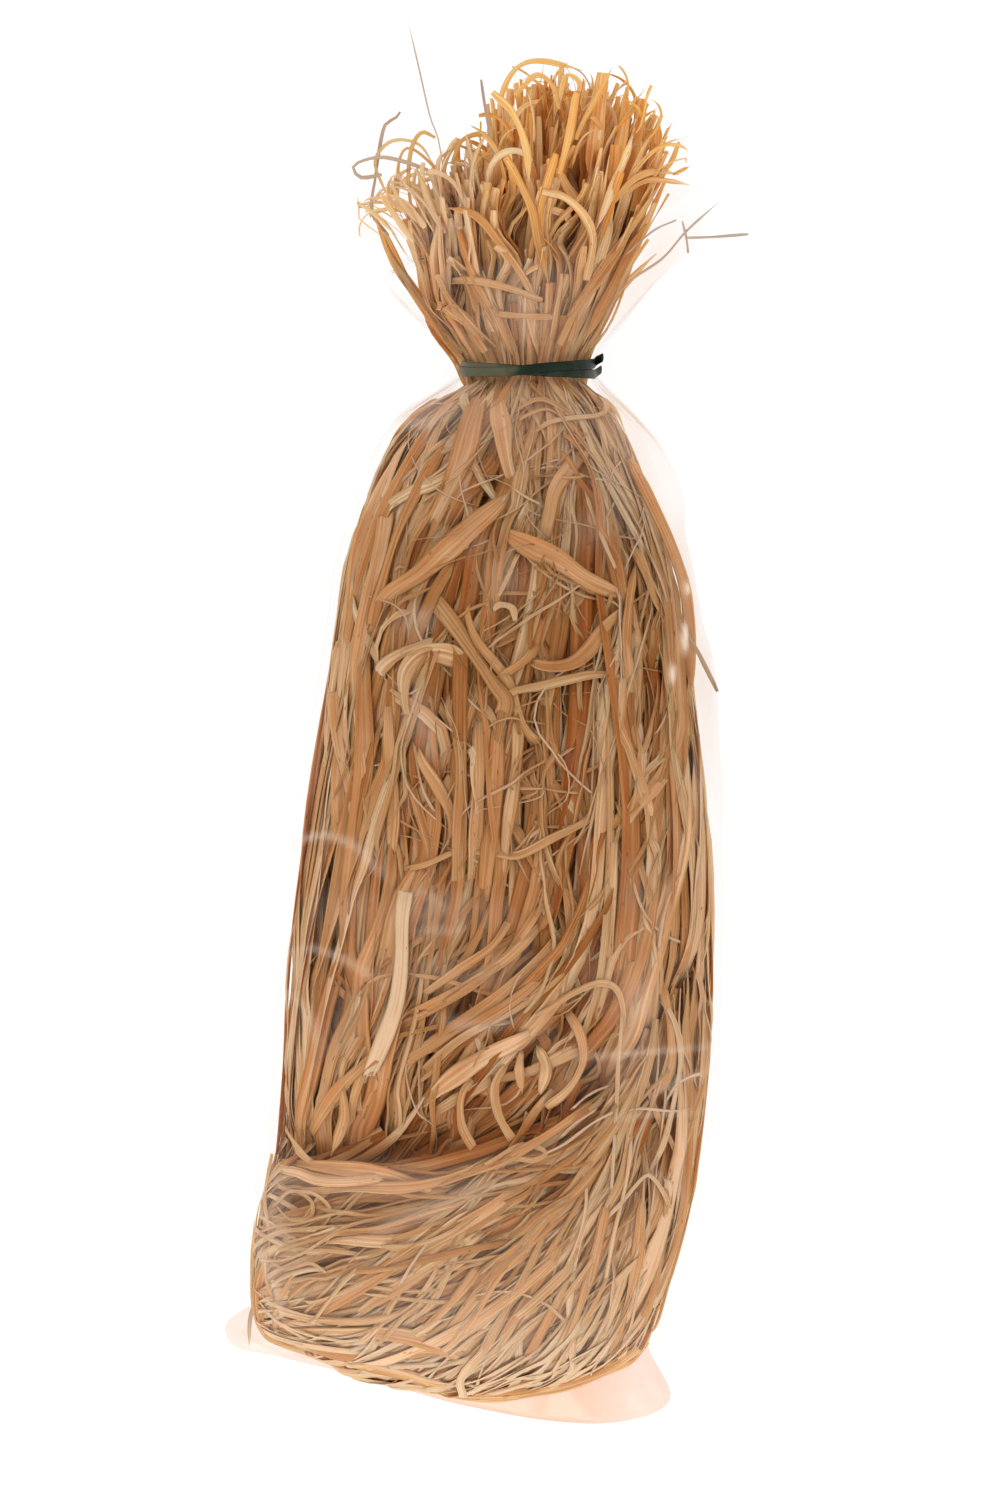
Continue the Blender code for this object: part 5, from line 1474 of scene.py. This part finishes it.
def makeTie():
    low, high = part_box("twist_tie")
    middle = Vector((tie["middleX"] * mm, 0, (low.z + high.z) / 2))
    points, outs = [], []
    for t in np.arange(tie["points"]) / (tie["points"] - 1):
        a = tie["from"] + t * (4 * math.pi + 0.3)
        second = smoothStep(0.45, 0.55, t)
        way = Vector((math.cos(a), 0, math.sin(a)))
        around = Vector((middle.x, readOff(a, tie["heights"]) * mm, middle.z))
        hit = struck(filmTree, around + way * 0.1, -way)[0]
        points.append(np.array(hit) + np.array(way) * (tie["stand"] + 0.5 * second) * mm)
        outs.append(np.array(way))
    points, outs = np.array(points), np.array(outs)
    # the two ends stand out at the right, one above the other
    points = np.vstack([points[0] + np.array([[2.2, 1.6, -3.0], [1.2, 0.8, -1.6]]) * mm, points,
                        points[-1] + np.array([[1.0, 0.3, 1.4], [2.2, 0.9, 2.6]]) * mm])
    outs = np.vstack([outs[:1], outs[:1], outs, outs[-1:], outs[-1:]])
    points = eased(points, 4)
    rng = np.random.default_rng(41)
    width = np.full((1, len(points)), tie["width"] * mm)
    return ribbonPiece("tie", tieMaterial(), points[None], outs[None], width, width * 0, np.array([0.5]), rng,
                       12, tie["thickness"])


tiePiece = makeTie()


looseNodes = [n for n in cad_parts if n.startswith("ribbon_")]
wispNodes = [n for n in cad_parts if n.startswith("wisp_")]
for piece in pieces:
    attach(piece, "root")
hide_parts("raffia_hank")
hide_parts(*looseNodes)
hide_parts(*wispNodes)
for piece in (filmPiece, sealPiece):
    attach(piece, "root")
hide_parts("film_bag")
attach(tiePiece, "root")
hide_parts("twist_tie")


studio = {
    "floorGlow": 0.88, "floorColour": 0.20, "sky": 0.84,
    # each soft light: where it stands, how wide it is, and its power
    "lights": {"key": ((-0.75, 0.75, 1.1), 0.9, 4.2), "fill": ((0.9, -0.5, 1.0), 0.9, 3.0),
               "low": ((-0.25, -1.1, 0.5), 0.8, 5.6)},
    # the camera: where it stands, in mm, how high over the bundle's middle, in m, and how much it takes in
    "cameraX": 4.35, "cameraY": -9, "aim": 0.038, "cameraHeight": 3.0, "takesIn": 0.45,
}


def makeFloor():
    mesh = bpy.data.meshes.new("floor")
    s, z = 2.5, cadLow.z - 0.4 * mm
    mesh.from_pydata([(-s, -s, z), (s, -s, z), (s, s, z), (-s, s, z)], [], [(0, 1, 2, 3)])
    grey = studio["floorColour"]
    material = newMaterial("floor_white", {
        "Base Color": (grey, grey, grey, 1), "Roughness": 0.9, "Specular IOR Level": 0.0,
        "Emission Color": (1, 1, 1, 1), "Emission Strength": studio["floorGlow"]})[0]
    mesh.materials.append(material)
    floor = placed("floor", mesh)


def softLight(name, place, size, power):
    data = bpy.data.lights.new(name, "AREA")
    data.shape = "SQUARE"
    data.size = size
    data.energy = power
    lamp = placed(name, data)
    lamp.location = place
    lamp.rotation_euler = (Vector((0, 0, 0.03)) - Vector(place)).to_track_quat("-Z", "Y").to_euler()


makeFloor()
for name, (place, size, power) in studio["lights"].items():
    softLight(name, place, size, power)
world = bpy.data.worlds.new("studio")
world.use_nodes = True
world.node_tree.nodes["Background"].inputs["Color"].default_value = (1, 1, 1, 1)
world.node_tree.nodes["Background"].inputs["Strength"].default_value = studio["sky"]
scene.world = world
scene.view_settings.view_transform = "Standard"
scene.view_settings.look = "None"

cameraData = bpy.data.cameras.new("camera")
camera = placed("camera", cameraData)
camera.location = (studio["cameraX"] * mm, studio["cameraY"] * mm, studio["aim"] + studio["cameraHeight"])
cameraData.sensor_width = 36
cameraData.lens = 36 * studio["cameraHeight"] / studio["takesIn"]
cameraData.clip_start = 0.05
cameraData.clip_end = 20
scene.camera = camera
